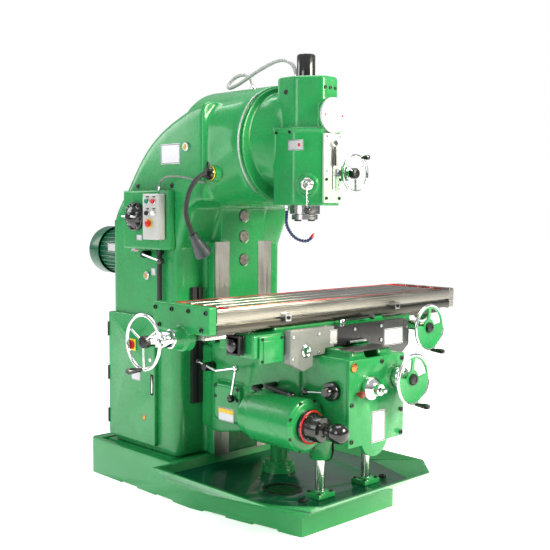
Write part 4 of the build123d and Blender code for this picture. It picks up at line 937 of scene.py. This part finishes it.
class MILL_OT_head(bpy.types.Operator):
    """Swivelling head with its plates, cap, clamp and screws"""
    bl_idname = "mill.head"
    bl_label = "Milling head"

    def execute(self, context):
        body = "milling_head"
        softened("head", "Head_casting", green_enamel(), body, voxel=0.005, rounds=4)
        edged("head_plate", "Front_plate",
              enamel("Plate paint", (0.5, 0.53, 0.5), gloss=0.3, soiling=0.08, regions=[
            ((-0.07, -0.66, 1.53), (0.07, -0.6, 1.6695), tuple(colours().pale_green)),
            ((-0.0045, -0.6365, 1.602), (0.0045, -0.6, 1.798), (0.02, 0.02, 0.02))]), body,
            width=0.0015)
        turned("Badge", [(0, 0), (0.086, 0), (0.086, 0.009), (0.083, 0.0118), (0.076, 0.012),
                         (0.0745, 0.0108),
                         (0, 0.0108)], (0, -0.6286, 1.957), FRONT, white_plate(), body, "head_badge",
                         72)
        screws("Badge_screws", [(0.062 * cos(a), -0.6393, 1.957 + 0.062 * sin(a)) for a in
                                (radians(d) for d in (0, 180))], FRONT, 0.006, 0.003, signal_red(),
                                body)
        turned("Spindle_cap", [(0.0455, 0), (0.0455, 0.110), (0.041, 0.1165), (0.034, 0.118),
                               (0, 0.118), (0, 0.112),
                               (0.0385, 0.103), (0.0385, 0), (0.0455, 0)], (0, -0.450, 2.147), UP,
                               black_gloss(), body, "drawbar_cap", 56)
        screws("Top_screws", [(x, -0.6125, 2.090) for x in (-0.035, 0.0, 0.035)], FRONT, 0.008, 0.006,
               dark_screw(), body)
        screws("Plate_screws", [(x, -0.6362, z) for x in (-0.046, 0.046) for z in (1.65, 1.56)], FRONT,
               0.008, 0.006,
               dark_screw(), body)
        screws("Plate_screws_top", [(x, -0.6362, z) for x in (-0.046, 0.046) for z in (1.855, 1.69)],
               FRONT, 0.006,
               0.004, chrome(), body)
        screws("Shoulder_screws", [(x, y, 1.876) for x, y in ((-0.1495, -0.40), (-0.1495, -0.49))],
               LEFT, 0.008, 0.006,
               dark_screw(), body)
        lever = Vector((0, -0.6363, 1.822))
        turned("Depth_hub", [(0, 0), (0.017, 0), (0.017, 0.016), (0.013, 0.0195), (0, 0.0195)], lever,
               FRONT, chrome(),
               "depth_stop", "depth_lever", 32)
        bars("Depth_handle", [(lever + Vector((0, -0.013, -0.008)), lever + Vector((0, -0.016, -0.107)),
                               0.006, 0.0105)],
             0.008, black_gloss(), "depth_stop")
        turned("Depth_rod_nut", [(0, 0), (0.012, 0), (0.012, 0.03), (0.008, 0.034), (0, 0.034)],
               (0.028, -0.648, 1.665), UP,
               chrome(), body, steps=6)
        bars("Depth_rod", [((0.028, -0.648, 1.60), (0.028, -0.648, 1.706))], 0.005, turned_steel(),
             body)
        away = Vector((-0.78, -0.625, 0)).normalized()
        hub = Vector((-0.1174, -0.5799, 1.625))
        turned("Clamp_hub", [(0, 0), (0.030, 0), (0.030, 0.022), (0.026, 0.026), (0.021, 0.027),
                             (0.0125, 0.046),
                             (0.010, 0.048), (0, 0.048)], hub, away, turned_steel(), "quill_lock",
                             "quill_clamp", 40)
        across = Vector((0.625, -0.78, 0)).normalized()
        start = hub + away * 0.038
        end = hub + away * 0.046 + across * 0.006 - UP * 0.124
        bars("Clamp_rod", [(start, end)], 0.006, chrome(), "quill_lock")
        knob("Clamp_knob", end, 0.0185, end - start, black_gloss(), "quill_lock")
        name_plate("Head_plate_side", (-0.1505, -0.530, 1.812), LEFT, 0.10, 0.050, body, False)
        turned("Head_red_dot", [(0, 0), (0.009, 0), (0.009, 0.001), (0, 0.001)],
               (-0.1517, -0.555, 1.812), LEFT,
               signal_red(), body)
        screws("Head_side_plug", [(-0.1275, -0.439, 2.072)], LEFT, 0.012, 0.004, dark_screw(), body, 24)
        return {"FINISHED"}


class MILL_OT_spindle(bpy.types.Operator):
    """Quill, spindle and drive keys"""
    bl_idname = "mill.spindle"
    bl_label = "Spindle"

    def execute(self, context):
        dress("quill", metal("Quill steel", (0.55, 0.55, 0.54), gloss=0.16, lines=(30, 30, 700),
                             depth=0.1))
        dress("spindle", metal("Spindle steel", (0.42, 0.42, 0.42), gloss=0.2, lines=(40, 40, 700),
                               depth=0.2, stain=0.3))
        dress("drive_keys", dark_screw())
        return {"FINISHED"}


class MILL_OT_coolant(bpy.types.Operator):
    """Jointed coolant hose with its nozzle"""
    bl_idname = "mill.coolant"
    bl_label = "Coolant hose"

    def execute(self, context):
        route = [(-0.096, -0.420, 1.523), (-0.096, -0.420, 1.478), (-0.106, -0.424, 1.430),
                 (-0.096, -0.462, 1.372),
                 (-0.074, -0.504, 1.350), (-0.044, -0.528, 1.352), (-0.027, -0.532, 1.378)]
        ribbed_hose("Coolant_line", route, 0.0088, 0.006, 0.013,
                    moulded("Hose blue", (0.008, 0.02, 0.09), gloss=0.3),
                    "milling_head", "coolant_hose")
        turned("Coolant_nozzle", [(0.008, -0.014), (0.0075, 0), (0.0035, 0.014), (0, 0.014)],
               (-0.0277, -0.5318, 1.377),
               (0.017, -0.004, 0.026), signal_red(), "milling_head", steps=20)
        turned("Coolant_valve", [(0, 0), (0.014, 0), (0.014, 0.012), (0.010, 0.016), (0.010, 0.024),
                                 (0, 0.024)],
               (-0.096, -0.420, 1.524), (0, 0, -1), turned_steel(), "milling_head", steps=6)
        return {"FINISHED"}


def wheel_web(name, base, reach, body):
    """Dished web inside a wheel rim with two windows above its hub."""
    web = bmesh.new()
    radii = [0.018 + (reach - 0.020) * i / 14 for i in range(15)]
    grid = [[web.verts.new(base @ Vector((r * cos(a), r * sin(a), -0.010 + 0.010 * (r / reach) ** 2)))
             for a in (2 * pi * k / 96 for k in range(96))] for r in radii]
    for i in range(14):
        for k in range(96):
            angle = 360 * (k + 0.5) / 96
            spoke = min(abs(angle - 90), 999) < 9 + 34 * max(0, 0.45 - i / 14)
            window = 12 < angle < 168 and 3 < i < 12 and not spoke
            if not window:
                web.faces.new((grid[i][k], grid[i][(k + 1) % 96], grid[i + 1][(k + 1) % 96],
                               grid[i + 1][k]))
    for vertex in [v for v in web.verts if not v.link_faces]:
        web.verts.remove(vertex)
    mesh = applied(finish_mesh(web, name + "_web"), name,
                   ("SOLIDIFY", {"thickness": 0.008, "offset": 0.0}),
                   ("BEVEL", {"width": 0.0015, "segments": 2, "limit_method": "ANGLE"}))
    place(mesh, name + "_web", green_enamel(), body)


def handwheel(name, centre, axis, radius, tube, body, node, collar, dial, grip_angle, grip_body,
              grip_node, grip_length,
              open_ring=False):
    """Crank handwheel: chrome rim, green web with two windows, dark hub, sleeve behind it and a turned grip.

    collar is the profile of the turned parts behind the web and dial the place and size of its graduations."""
    base = seat(centre, axis)
    tori = bmesh.new()
    reach = radius - tube
    rings = []
    for k in range(72):
        a = 2 * pi * k / 72
        rings.append([tori.verts.new(base @ Vector(((reach + tube * cos(b)) * cos(a),
                                                    (reach + tube * cos(b)) * sin(a),
                                                     tube * sin(b)))) for b in (2 * pi * j / 16 for j in range(16))])
    for k in range(72):
        for j in range(16):
            tori.faces.new((rings[k][j], rings[(k + 1) % 72][j], rings[(k + 1) % 72][(j + 1) % 16],
                            rings[k][(j + 1) % 16]))
    place(finish_mesh(tori, name + "_rim"), name + "_rim", chrome(), body, node)
    if open_ring:
        spokes = [(base @ Vector((0.018 * cos(a), 0.018 * sin(a), 0)),
                   base @ Vector((reach * cos(a), reach * sin(a), 0)))
                  for a in (radians(d) for d in (-88, 32, 152))]
        bars(name + "_spokes", spokes, 0.0048, chrome(), body)
    else:
        wheel_web(name, base, reach, body)
    turned(name + "_hub", [(0, -0.022), (0.026, -0.022), (0.027, -0.012), (0.027, 0.004),
                           (0.023, 0.010), (0.012, 0.012),
                           (0.0105, 0.009), (0, 0.009)], centre, axis, dark_screw(), body, steps=40)
    if collar:
        turned(name + "_collar", collar, centre, axis, chrome(), body, steps=56)
    if dial:
        along, dial_radius, count = dial
        ring_ticks(name + "_marks", centre, axis, dial_radius, count, (0.0007, 0.006, 0.0006),
                   dark_screw(), body,
                   along=along)
    turn = radians(grip_angle)
    foot = base @ Vector((reach * cos(turn), reach * sin(turn), tube + 0.0006))
    length = grip_length
    turned(name + "_grip", [(0, 0.004), (0.0075, 0.004), (0.0092, 0.010), (0.0098, length * 0.3),
                            (0.0128, length * 0.62),
                            (0.0134, length * 0.8), (0.0118, length * 0.94), (0.006, length),
                            (0, length)], foot, axis,
           black_gloss(), grip_body, grip_node, 32)
    turned(name + "_grip_ferrule", [(0, 0), (0.0088, 0), (0.0088, 0.004), (0, 0.0041)], foot, axis,
           chrome(), grip_body,
           steps=32)


class MILL_OT_handwheels(bpy.types.Operator):
    """Four handwheels with their dials, sleeves and grips"""
    bl_idname = "mill.handwheels"
    bl_label = "Handwheels"

    def execute(self, context):
        radius, tube, grip = sizes().rim_radius, sizes().rim_tube - 0.0005, sizes().grip_length
        handwheel("Table_wheel", (-0.985, -0.451, 0.935), LEFT, radius, tube, "table_wheel",
                  "table_handwheel",
                  [(0.0225, -0.143), (0.0355, -0.143), (0.0358, -0.141), (0.0358, -0.096),
                   (0.034, -0.0925), (0.0295, -0.091),
                   (0.0295, -0.066), (0.026, -0.062), (0.0235, -0.05), (0.0235, -0.02),
                   (0.0225, -0.02)],
                  (-0.139, 0.0360, 60), -88, "table_wheel_grip", "table_grip", grip, True)
        handwheel("Front_wheel", (0.608, -0.778, 0.893), FRONT, radius, tube, "front_wheel",
                  "front_handwheel",
                  [(0, -0.199), (0.0158, -0.199), (0.0158, -0.150), (0.0285, -0.1495), (0.029, -0.147),
                   (0.029, -0.073),
                   (0.0265, -0.0705), (0.0235, -0.0705), (0.0235, -0.02), (0, -0.02)],
                  (-0.147, 0.0291, 50), -88, "front_wheel_grip", "front_grip", grip)
        handwheel("Cross_wheel", (0.147, -1.030, 0.711), FRONT, radius, tube, "cross_wheel",
                  "cross_handwheel",
                  [(0, -0.209), (0.0158, -0.209), (0.0158, -0.0976), (0.0515, -0.0972), (0.052, -0.095),
                   (0.052, -0.068),
                   (0.050, -0.0638), (0.028, -0.0636), (0.028, -0.03), (0.0235, -0.028),
                   (0.0235, -0.02), (0, -0.02)],
                  (-0.094, 0.0522, 72), -88, "cross_wheel_grip", "cross_grip", grip)
        handwheel("Quill_wheel", (0.252, -0.560, 1.689), FRONT, 0.098, 0.0065, "quill_wheel",
                  "quill_handwheel",
                  [(0, -0.139), (0.0138, -0.139), (0.0138, -0.052), (0.030, -0.0515), (0.030, -0.034),
                   (0.0235, -0.032),
                   (0.0235, -0.02), (0, -0.02)], (-0.05, 0.0302, 50), 62, "quill_wheel", None, 0.046,
                   True)
        dress("table_screw", turned_steel())
        return {"FINISHED"}


class MILL_OT_knee(bpy.types.Operator):
    """Knee casting, front plate, lift dial, clamp levers, plates and screws"""
    bl_idname = "mill.knee"
    bl_label = "Knee"

    def execute(self, context):
        body = "knee_body"
        softened("knee", "Knee_casting", green_enamel(), body, voxel=0.008, rounds=4)
        edged("apron", "Front_cover", green_enamel(), body, width=0.004)
        front = -0.932
        holes = [(0.18, 0.80), (-0.18, 0.62), (0.18, 0.55), (-0.18, 0.45), (0.18, 0.44), (0.03, 0.80)]
        screws("Cover_screws", [(x, front, z) for x, z in holes], FRONT, 0.011, 0.006, dark_screw(),
               body)
        name_plate("Knee_name_plate", (0.011, front - 0.0003, 0.495), FRONT, 0.098, 0.15, body)
        turned("Cover_sight", [(0, 0), (0.021, 0), (0.021, 0.006), (0.015, 0.008), (0, 0.0075)],
               (-0.168, front, 0.792),
               FRONT, metal("Sight copper", (0.5, 0.2, 0.06), gloss=0.2), body)
        for index, z in enumerate((0.668,)):
            turned(f"Index_knob_{index}",
                   [(0, 0), (0.008, 0), (0.008, 0.014), (0.016, 0.018), (0.0165, 0.034), (0.012, 0.040),
                                           (0, 0.041)], (-0.140, front, z), FRONT,
                   moulded("Knob red brown", (0.17, 0.018, 0.01), gloss=0.25), body)
        centre = Vector((-0.062, -0.9324, 0.686))
        turned("Lift_dial", [(0, -0.079), (0.0198, -0.079), (0.0198, 0), (0.0535, 0.0004),
                             (0.0538, 0.003), (0.0538, 0.0235),
                             (0.0515, 0.026), (0.046, 0.0262), (0.030, 0.048), (0.0268, 0.049),
                             (0.0268, 0.072),
                             (0.025, 0.074), (0.017, 0.074), (0.017, 0.062), (0.011, 0.062),
                             (0.011, 0.100), (0, 0.104)],
               centre, FRONT, chrome(), "lift_socket", "lift_dial", 64)
        ring_ticks("Lift_marks", centre, FRONT, 0.0539, 60, (0.0008, 0.006, 0.0006), dark_screw(),
                   "lift_socket",
                   along=0.004)
        flank = Vector((-0.2284, -0.020, 0.690))

        def at(forward, upward, out):
            return flank + Vector((-out, -forward, upward))

        turned("Knee_clamp_hub", [(0, 0), (0.024, 0), (0.024, 0.05), (0.019, 0.066), (0, 0.0662)],
               flank, LEFT,
               dark_screw(), "knee_lock", "knee_clamp", 36)
        bars("Knee_clamp_arms", [(at(-0.06, 0.024, 0.058), at(0.09, -0.008, 0.058)),
                                 (at(0.09, -0.008, 0.058), at(0.24, 0.024, 0.058)),
                                 (at(0.24, 0.024, 0.058), at(0.205, -0.12, 0.058), 0.0075, 0.0055)],
                                 0.0068, chrome(),
             "knee_lock")
        knob("Knee_clamp_boss", at(0.24, 0.024, 0.058), 0.017, UP, chrome(), "knee_lock")
        knob("Knee_clamp_knob", at(0.203, -0.134, 0.058), 0.0205, (0, 0.24, -1), black_gloss(),
             "knee_lock")
        knob("Knee_clamp_end", at(-0.056, 0.0235, 0.058), 0.0145, (0, 1, 0.2), black_gloss(),
             "knee_lock")
        name_plate("Knee_side_plate", (-0.2626, -0.16, 0.46), LEFT, 0.12, 0.07, body, False)
        blocks("Knee_plate_band", [((-0.2645, -0.16, 0.478), (0.0008, 0.112, 0.022))],
               moulded("Band yellow", tuple(colours().signal_yellow), gloss=0.35), body,
               rounding=0.0002)
        screws("Flank_screws", [(-0.262, y, z) for y in (-0.075, -0.245) for z in (0.60, 0.545)], LEFT,
               0.010, 0.003,
               dark_screw(), body)
        bars("Drain_cylinder", [((-0.205, -0.640, 0.404), (-0.060, -0.640, 0.404))], 0.034,
             green_enamel(), body)
        for index, line in enumerate((
                ((-0.12, -0.66, 0.428), (-0.135, -0.69, 0.34), (-0.09, -0.72, 0.30),
                 (-0.04, -0.70, 0.36), (-0.03, -0.66, 0.428)),
                ((-0.05, -0.60, 0.428), (-0.04, -0.62, 0.33), (0.03, -0.63, 0.32),
                 (0.07, -0.62, 0.428)))):
            ribbed_hose(f"Oil_hose_{index}", line, 0.0085, 0.0078, 0.008, black_satin(), body)
        blocks("Way_cover", [((0, -0.846, 0.8563), (0.28, 0.13, 0.0012))],
               metal("Cover plate", (0.16, 0.16, 0.15), gloss=0.3, lines=(5, 90, 90), stain=0.5), body,
               rounding=0.001)
        return {"FINISHED"}


class MILL_OT_feed(bpy.types.Operator):
    """Feed gearbox with its selector and engaging lever"""
    bl_idname = "mill.feed"
    bl_label = "Feed gearbox"

    def execute(self, context):
        x, z = -0.296, 0.514
        softened("feed_gearbox", "Feed_gearbox", green_enamel(), "knee_body", voxel=0.005, rounds=3)
        bm = bmesh.new()
        for k in range(8):
            a = 2 * pi * k / 8 + 0.39
            lathe_mesh(screw_profile(0.008, 0.006),
                       seat((x + 0.118 * cos(a), -0.762, z + 0.118 * sin(a)), FRONT), 16, bm)
        place(finish_mesh(bm, "Feed_gearbox_screws"), "Feed_gearbox_screws", dark_screw(), "knee_body")
        front = Vector((x, -0.7724, z))
        turned("Feed_dial", [(0, -0.069), (0.0218, -0.069), (0.0218, -0.001), (0.078, 0),
                             (0.079, 0.004), (0.079, 0.020),
                             (0.076, 0.0245), (0.062, 0.0252), (0.060, 0.030), (0.060, 0.088),
                             (0.055, 0.096), (0.034, 0.098),
                             (0.0235, 0.108), (0.0235, 0.150), (0, 0.150)],
               front, FRONT, black_gloss(), "feed_rate", "feed_selector", 72)
        turned("Feed_dial_ring", [(0.070, 0.0252), (0.0745, 0.0262), (0.0775, 0.0246), (0.0785, 0.0225),
                                  (0.070, 0.0252)],
               front, FRONT, signal_red(), "feed_rate", steps=72)
        ring_ticks("Feed_marks", front, FRONT, 0.0602, 16, (0.0012, 0.007, 0.0022), white_plate(),
                   "feed_rate", along=0.036)
        turned("Feed_mushroom", [(0.0235, 0.142), (0.030, 0.144), (0.040, 0.156), (0.0455, 0.174),
                                 (0.046, 0.190),
                                 (0.0435, 0.206), (0.036, 0.220), (0.022, 0.230), (0, 0.233)], front,
                                 FRONT, black_gloss(),
               "feed_rate", steps=64)
        hub = Vector((-0.1964, -0.836, 0.674))
        turned("Feed_lever_plate", [(0, 0), (0.044, 0), (0.0445, 0.004), (0.0445, 0.028),
                                    (0.040, 0.034), (0.024, 0.0342),
                                    (0.0235, 0.058), (0.019, 0.064), (0, 0.0642)], hub, LEFT,
                                    black_gloss(), "feed_engage",
               "feed_lever", 56)
        start, end = hub + Vector((-0.054, 0, 0)), hub + Vector((-0.064, 0.120, -0.012))
        bars("Feed_levers", [((-0.24, -0.500, 0.665), (-0.305, -0.500, 0.662)),
                             ((-0.300, -0.498, 0.662), (-0.296, -0.655, 0.640)),
                             ((-0.24, -0.400, 0.640), (-0.300, -0.400, 0.640)),
                             ((-0.296, -0.402, 0.640), (-0.296, -0.500, 0.618))],
             0.012, black_satin(), "knee_body")
        knob("Feed_levers_ball", (-0.296, -0.660, 0.639), 0.02, (0, -1, 0), black_gloss(), "knee_body")
        bars("Feed_lever_rod", [(start, end)], 0.0058, chrome(), "feed_engage")
        knob("Feed_lever_knob", end, 0.0168, end - start, black_gloss(), "feed_engage")
        return {"FINISHED"}


class MILL_OT_lift(bpy.types.Operator):
    """Lifting screw with its cover and collar, guide posts, their feet and screws, and a collar on the left post"""
    bl_idname = "mill.lift"
    bl_label = "Lifting gear"

    def execute(self, context):
        dress("lift_screw", metal("Screw steel", (0.33, 0.33, 0.31), gloss=0.28, lines=(30, 30, 300),
                                  depth=0.6, stain=0.4))
        dress("guide_posts", metal("Post steel", (0.62, 0.62, 0.61), gloss=0.13, lines=(20, 20, 500),
                                   depth=0.1))
        edged("post_feet", "Post_feet", green_enamel(), "frame", width=0.003)
        screws("Post_feet_screws", [(sx * 0.165 + dx, -0.728 + dy, 0.172) for sx in (-1,
                1) for dx in (-0.042, 0.042)
                                    for dy in (-0.032, 0.032)], UP, 0.008, 0.008, dark_screw(), "frame")
        turned("Screw_cover", [(0.032, 0.058), (0.0446, 0.058), (0.0446, 0.202), (0.043, 0.204),
                               (0.032, 0.204), (0.032, 0.058)],
               (0, -0.278, 0.150), UP, green_enamel(), "frame", steps=48)
        turned("Screw_collar", [(0.046, 0.001), (0.0848, 0.001), (0.0848, 0.032), (0.082, 0.035),
                                (0.0708, 0.0352), (0.0708, 0.056),
                                (0.068, 0.0592), (0.046, 0.0592), (0.046, 0.001)], (0, -0.278, 0.150),
                                UP, green_enamel(),
               "frame", steps=56)
        turned("Post_collar", [(0.0246, 0), (0.048, 0), (0.052, 0.006), (0.052, 0.10), (0.0246, 0.10),
                               (0.0246, 0)],
               (-0.165, -0.728, 0.334), UP, green_enamel(), "knee_body", steps=40)
        return {"FINISHED"}


class MILL_OT_saddle(bpy.types.Operator):
    """Saddle casting with the traverse gear case, table clamp and wipers"""
    bl_idname = "mill.saddle"
    bl_label = "Saddle"

    def execute(self, context):
        body = "saddle_body"
        softened("saddle", "Saddle_casting", green_enamel(), body, voxel=0.006, rounds=3)
        grey = tuple(colours().gear_grey)
        case = enamel("Gearbox paint", grey, gloss=0.3, soiling=0.3, regions=[
            ((-0.095, -0.75, 0.83), (0.272, -0.69, 0.96), (0.012, 0.012, 0.013)),
            ((0.272, -0.75, 0.76), (0.49, -0.69, 0.96), (0.03, 0.035, 0.035))])
        edged("traverse_gearbox", "Traverse_gearbox", case, body, width=0.004)
        face = -0.742
        name_plate("Gearbox_plate_right", (0.352, face - 0.0003, 0.868), FRONT, 0.15, 0.085, body)
        name_plate("Gearbox_plate_small", (-0.10, face - 0.0003, 0.906), FRONT, 0.055, 0.07, body)
        turned("Gearbox_sight", [(0, 0), (0.030, 0), (0.030, 0.006), (0.023, 0.010), (0.020, 0.008),
                                 (0, 0.008)],
               (-0.285, face, 0.858), FRONT, chrome(), body)
        screws("Gearbox_screws", [(-0.37, face, 0.93), (-0.37, face, 0.83), (-0.20, face, 0.93),
                                  (-0.20, face, 0.845),
                               (0.05, face, 0.93), (0.25, face, 0.93), (0.46, face, 0.91),
                               (0.25, face, 0.86)], FRONT,
               0.008, 0.006, chrome(), body)
        bars("Gearbox_bar", [((0.0, face - 0.012, 0.872), (0.12, face - 0.012, 0.872))], 0.008,
             chrome(), body)
        blocks("Gearbox_end", [((-0.470, -0.706, 0.880), (0.150, 0.010, 0.122)),
                               ((-0.470, -0.712, 0.880), (0.11, 0.006, 0.085))],
               green_enamel(), body, rounding=0.003)
        screws("Gearbox_end_screws", [(-0.53, -0.711, 0.93), (-0.53, -0.711, 0.83),
                                      (-0.41, -0.711, 0.93)], FRONT, 0.007, 0.005,
               dark_screw(), body)
        for index, spot in enumerate(((-0.305, -0.702, 0.953), (-0.115, -0.702, 0.953))):
            turned(f"Oil_nipple_{index}",
                   [(0, 0), (0.007, 0), (0.007, 0.006), (0.004, 0.008), (0.004, 0.012), (0, 0.013)],
                   spot, FRONT, chrome(), body, steps=16)
        blocks("Way_bellows", [((-0.582 - 0.012 * k, -0.602, 0.900),
                                (0.006, 0.086 - 0.008 * (k % 2), 0.088 - 0.008 * (k % 2)))
                               for k in range(3)] + [((-0.592, -0.602, 0.900), (0.034, 0.07, 0.072))],
                               black_satin(), body,
               rounding=0.001)
        turned("Bellows_hub", [(0, 0), (0.030, 0), (0.030, 0.012), (0.020, 0.018), (0, 0.018)],
               (-0.609, -0.602, 0.900), LEFT,
               black_gloss(), body, steps=32)
        pivot = Vector((0.030, -0.680, 0.9484))
        turned("Table_lock_hub", [(0, 0), (0.015, 0), (0.015, 0.019), (0.0115, 0.026), (0, 0.0262)],
               pivot, UP, chrome(),
               "table_clamp", "table_lock", 32)
        tip = pivot + Vector((0.208, -0.014, 0.024))
        bars("Table_lock_rod", [(pivot + Vector((0, 0, 0.018)), tip)], 0.0053, black_gloss(),
             "table_clamp")
        knob("Table_lock_knob", tip, 0.0148, (1, 0, 0), black_gloss(), "table_clamp")
        return {"FINISHED"}


class MILL_OT_table(bpy.types.Operator):
    """Table with gutter, slots, end brackets and trip dogs"""
    bl_idname = "mill.table"
    bl_label = "Table"

    def execute(self, context):
        red = tuple(colours().gutter_red)
        low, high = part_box("table")
        floor = high.z - 0.0145
        # The table's front face is painted darker than its top, darkest over its lower 85 mm. The red boxes are the
        # painted gutter.
        top = metal("Table iron", (0.42, 0.41, 0.38), gloss=0.24, lines=(4, 260, 260), depth=0.22,
                    stain=0.3, regions=[
            ((low.x - 0.01, low.y - 0.01, low.z + 0.03), (high.x + 0.01, low.y + 0.003, high.z - 0.016),
             (0.3, 0.285, 0.25)),
            ((low.x - 0.01, low.y - 0.01, low.z), (high.x + 0.01, low.y + 0.003, low.z + 0.085),
             (0.1, 0.095, 0.08)),
            ((low.x + 0.013, low.y + 0.007, floor), (high.x - 0.013, low.y + 0.033, high.z - 0.0008),
             red),
            ((low.x + 0.013, high.y - 0.033, floor), (high.x - 0.013, high.y - 0.007, high.z - 0.0008),
             red),
            ((low.x + 0.013, low.y + 0.007, floor), (low.x + 0.098, high.y - 0.007, high.z - 0.0008),
             red),
            ((high.x - 0.098, low.y + 0.007, floor), (high.x - 0.013, high.y - 0.007, high.z - 0.0008),
             red)])
        edged("table", "Work_table", top, "table_body", width=0.0012)
        for node, name, x, out in (("left_bracket", "Left_bracket", low.x, -1),
                                   ("right_bracket", "Right_bracket", high.x, 1)):
            paint = green_enamel() if out < 0 else oiled_iron()
            softened(node, name, paint, "table_body", voxel=0.004, rounds=3)
            face = x + out * 0.0448
            spots = [(face, y, 1.059) for y in (-0.63, -0.51, -0.392, -0.272)] + [(face, y,
                    0.982) for y in (-0.60, -0.302)]
            screws(name + "_screws", spots, (out, 0, 0), 0.010, 0.008, dark_screw(), "table_body")
            turned(name + "_collar", [(0.0232, 0), (0.043, 0), (0.043, 0.004), (0.040, 0.0065),
                                      (0.0232, 0.0065), (0.0232, 0)],
                   (x + out * 0.0995, -0.451, 0.935), (out, 0, 0), chrome(), "table_body")
        dress("trip_dogs", turned_steel())
        screws("Dog_screws", [(x, -0.673, 1.009) for x in (-0.33, 0.47)], FRONT, 0.009, 0.006,
               dark_screw(), "table_body")
        return {"FINISHED"}


class MILL_OT_stage(bpy.types.Operator):
    """Pale floor, soft lights and camera"""
    bl_idname = "mill.stage"
    bl_label = "Stage"

    def execute(self, context):
        bm = bmesh.new()
        bmesh.ops.create_grid(bm, x_segments=2, y_segments=2, size=40.0)
        mesh = finish_mesh(bm, "Floor")
        floor = bpy.data.objects.new("Floor", mesh)
        context.collection.objects.link(floor)
        mesh.materials.append(moulded("Studio floor", (0.97, 0.97, 0.97), gloss=0.8, grain=0.02,
                                     Emission_Color=(1.0, 1.0, 1.0, 1.0), Emission_Strength=0.55))
        context.scene.view_settings.view_transform = "Standard"
        world = bpy.data.worlds.new("Studio")
        context.scene.world = world
        world.use_nodes = True
        tree = world.node_tree
        shown = tree.nodes["Background"]
        shown.inputs["Color"].default_value = (1.0, 1.0, 1.0, 1)
        lit = add_node(tree, "ShaderNodeBackground", {"Strength": 0.62})
        sky = add_node(tree, "ShaderNodeSeparateXYZ",
                       i0=add_node(tree, "ShaderNodeTexCoord").outputs["Generated"])
        ramp = add_node(tree, "ShaderNodeValToRGB", i0=sky.outputs[2])
        ramp.color_ramp.elements[0].color = (0.2, 0.21, 0.22, 1)
        ramp.color_ramp.elements[1].position = 0.55
        ramp.color_ramp.elements[1].color = (1, 1, 1, 1)
        tree.links.new(ramp.outputs[0], lit.inputs["Color"])
        pick = add_node(tree, "ShaderNodeMixShader",
                        i0=add_node(tree, "ShaderNodeLightPath").outputs["Is Camera Ray"],
                        i1=lit.outputs[0], i2=shown.outputs[0])
        tree.links.new(pick.outputs[0], tree.nodes["World Output"].inputs["Surface"])
        aims = (("Key", (2.2, -5.4, 3.6), (0, -0.4, 1.1), 620, 2.4),
                ("Fill", (-5.4, -0.8, 2.6), (0, 0, 1.1), 110, 2.6),
                ("Top", (0.2, 0.2, 5.2), (0, 0, 1.0), 160, 3.0),
                ("Rim", (-2.5, 4.5, 3.2), (0, 0, 1.2), 90, 2.5))
        for name, spot, target, power, size in aims:
            lamp = bpy.data.lights.new(name, "AREA")
            lamp.energy = power
            lamp.color = (1.0, 0.95, 0.76) if name == "Key" else (1.0, 1.0, 1.0)
            lamp.size = size
            obj = bpy.data.objects.new(name, lamp)
            context.collection.objects.link(obj)
            obj.location = spot
            obj.rotation_euler = (Vector(target) - Vector(spot)).to_track_quat("-Z", "Y").to_euler()
        yaw, pitch, roll = radians(44.02), radians(4.18), radians(0.39)
        ahead = Vector((sin(yaw) * cos(pitch), cos(yaw) * cos(pitch), -sin(pitch)))
        right = Vector((cos(yaw), -sin(yaw), 0))
        above = right.cross(ahead)
        side = right * cos(roll) + above * sin(roll)
        upper = above * cos(roll) - right * sin(roll)
        lens = bpy.data.cameras.new("Camera")
        lens.lens = 59.94
        lens.sensor_width = 36.0
        camera = bpy.data.objects.new("Camera", lens)
        context.collection.objects.link(camera)
        camera.matrix_world = Matrix.Translation((-3.282, -3.636, 1.511)) @ Matrix(
            (side, upper, -ahead)).transposed().to_4x4()
        context.scene.camera = camera
        return {"FINISHED"}


PIECES = (
    MILL_OT_base, MILL_OT_column, MILL_OT_motor, MILL_OT_controls, MILL_OT_cabinet, MILL_OT_lamp,
    MILL_OT_cables,
    MILL_OT_head, MILL_OT_spindle, MILL_OT_coolant, MILL_OT_handwheels, MILL_OT_knee, MILL_OT_feed,
    MILL_OT_lift,
    MILL_OT_saddle, MILL_OT_table, MILL_OT_stage,
)


class MILL_PT_panel(bpy.types.Panel):
    """Lists the machine's pieces, sizes and colours"""
    bl_idname = "MILL_PT_panel"
    bl_label = "Milling machine"
    bl_space_type = "VIEW_3D"
    bl_region_type = "UI"
    bl_category = "Mill"

    def draw(self, context):
        for settings in (context.scene.mill_sizes, context.scene.mill_colours):
            for name in settings.__annotations__:
                self.layout.prop(settings, name)
        for piece in PIECES:
            self.layout.operator(piece.bl_idname)


CLASSES = (MillSizes, MillColours, *PIECES, MILL_PT_panel)


def register():
    for cls in CLASSES:
        bpy.utils.register_class(cls)
    bpy.types.Scene.mill_sizes = bpy.props.PointerProperty(type=MillSizes)
    bpy.types.Scene.mill_colours = bpy.props.PointerProperty(type=MillColours)


def unregister():
    del bpy.types.Scene.mill_colours
    del bpy.types.Scene.mill_sizes
    for cls in reversed(CLASSES):
        bpy.utils.unregister_class(cls)


def main():
    register()
    for piece in PIECES:
        group, action = piece.bl_idname.split(".")
        getattr(getattr(bpy.ops, group), action)()


if __name__ == "__main__":
    main()
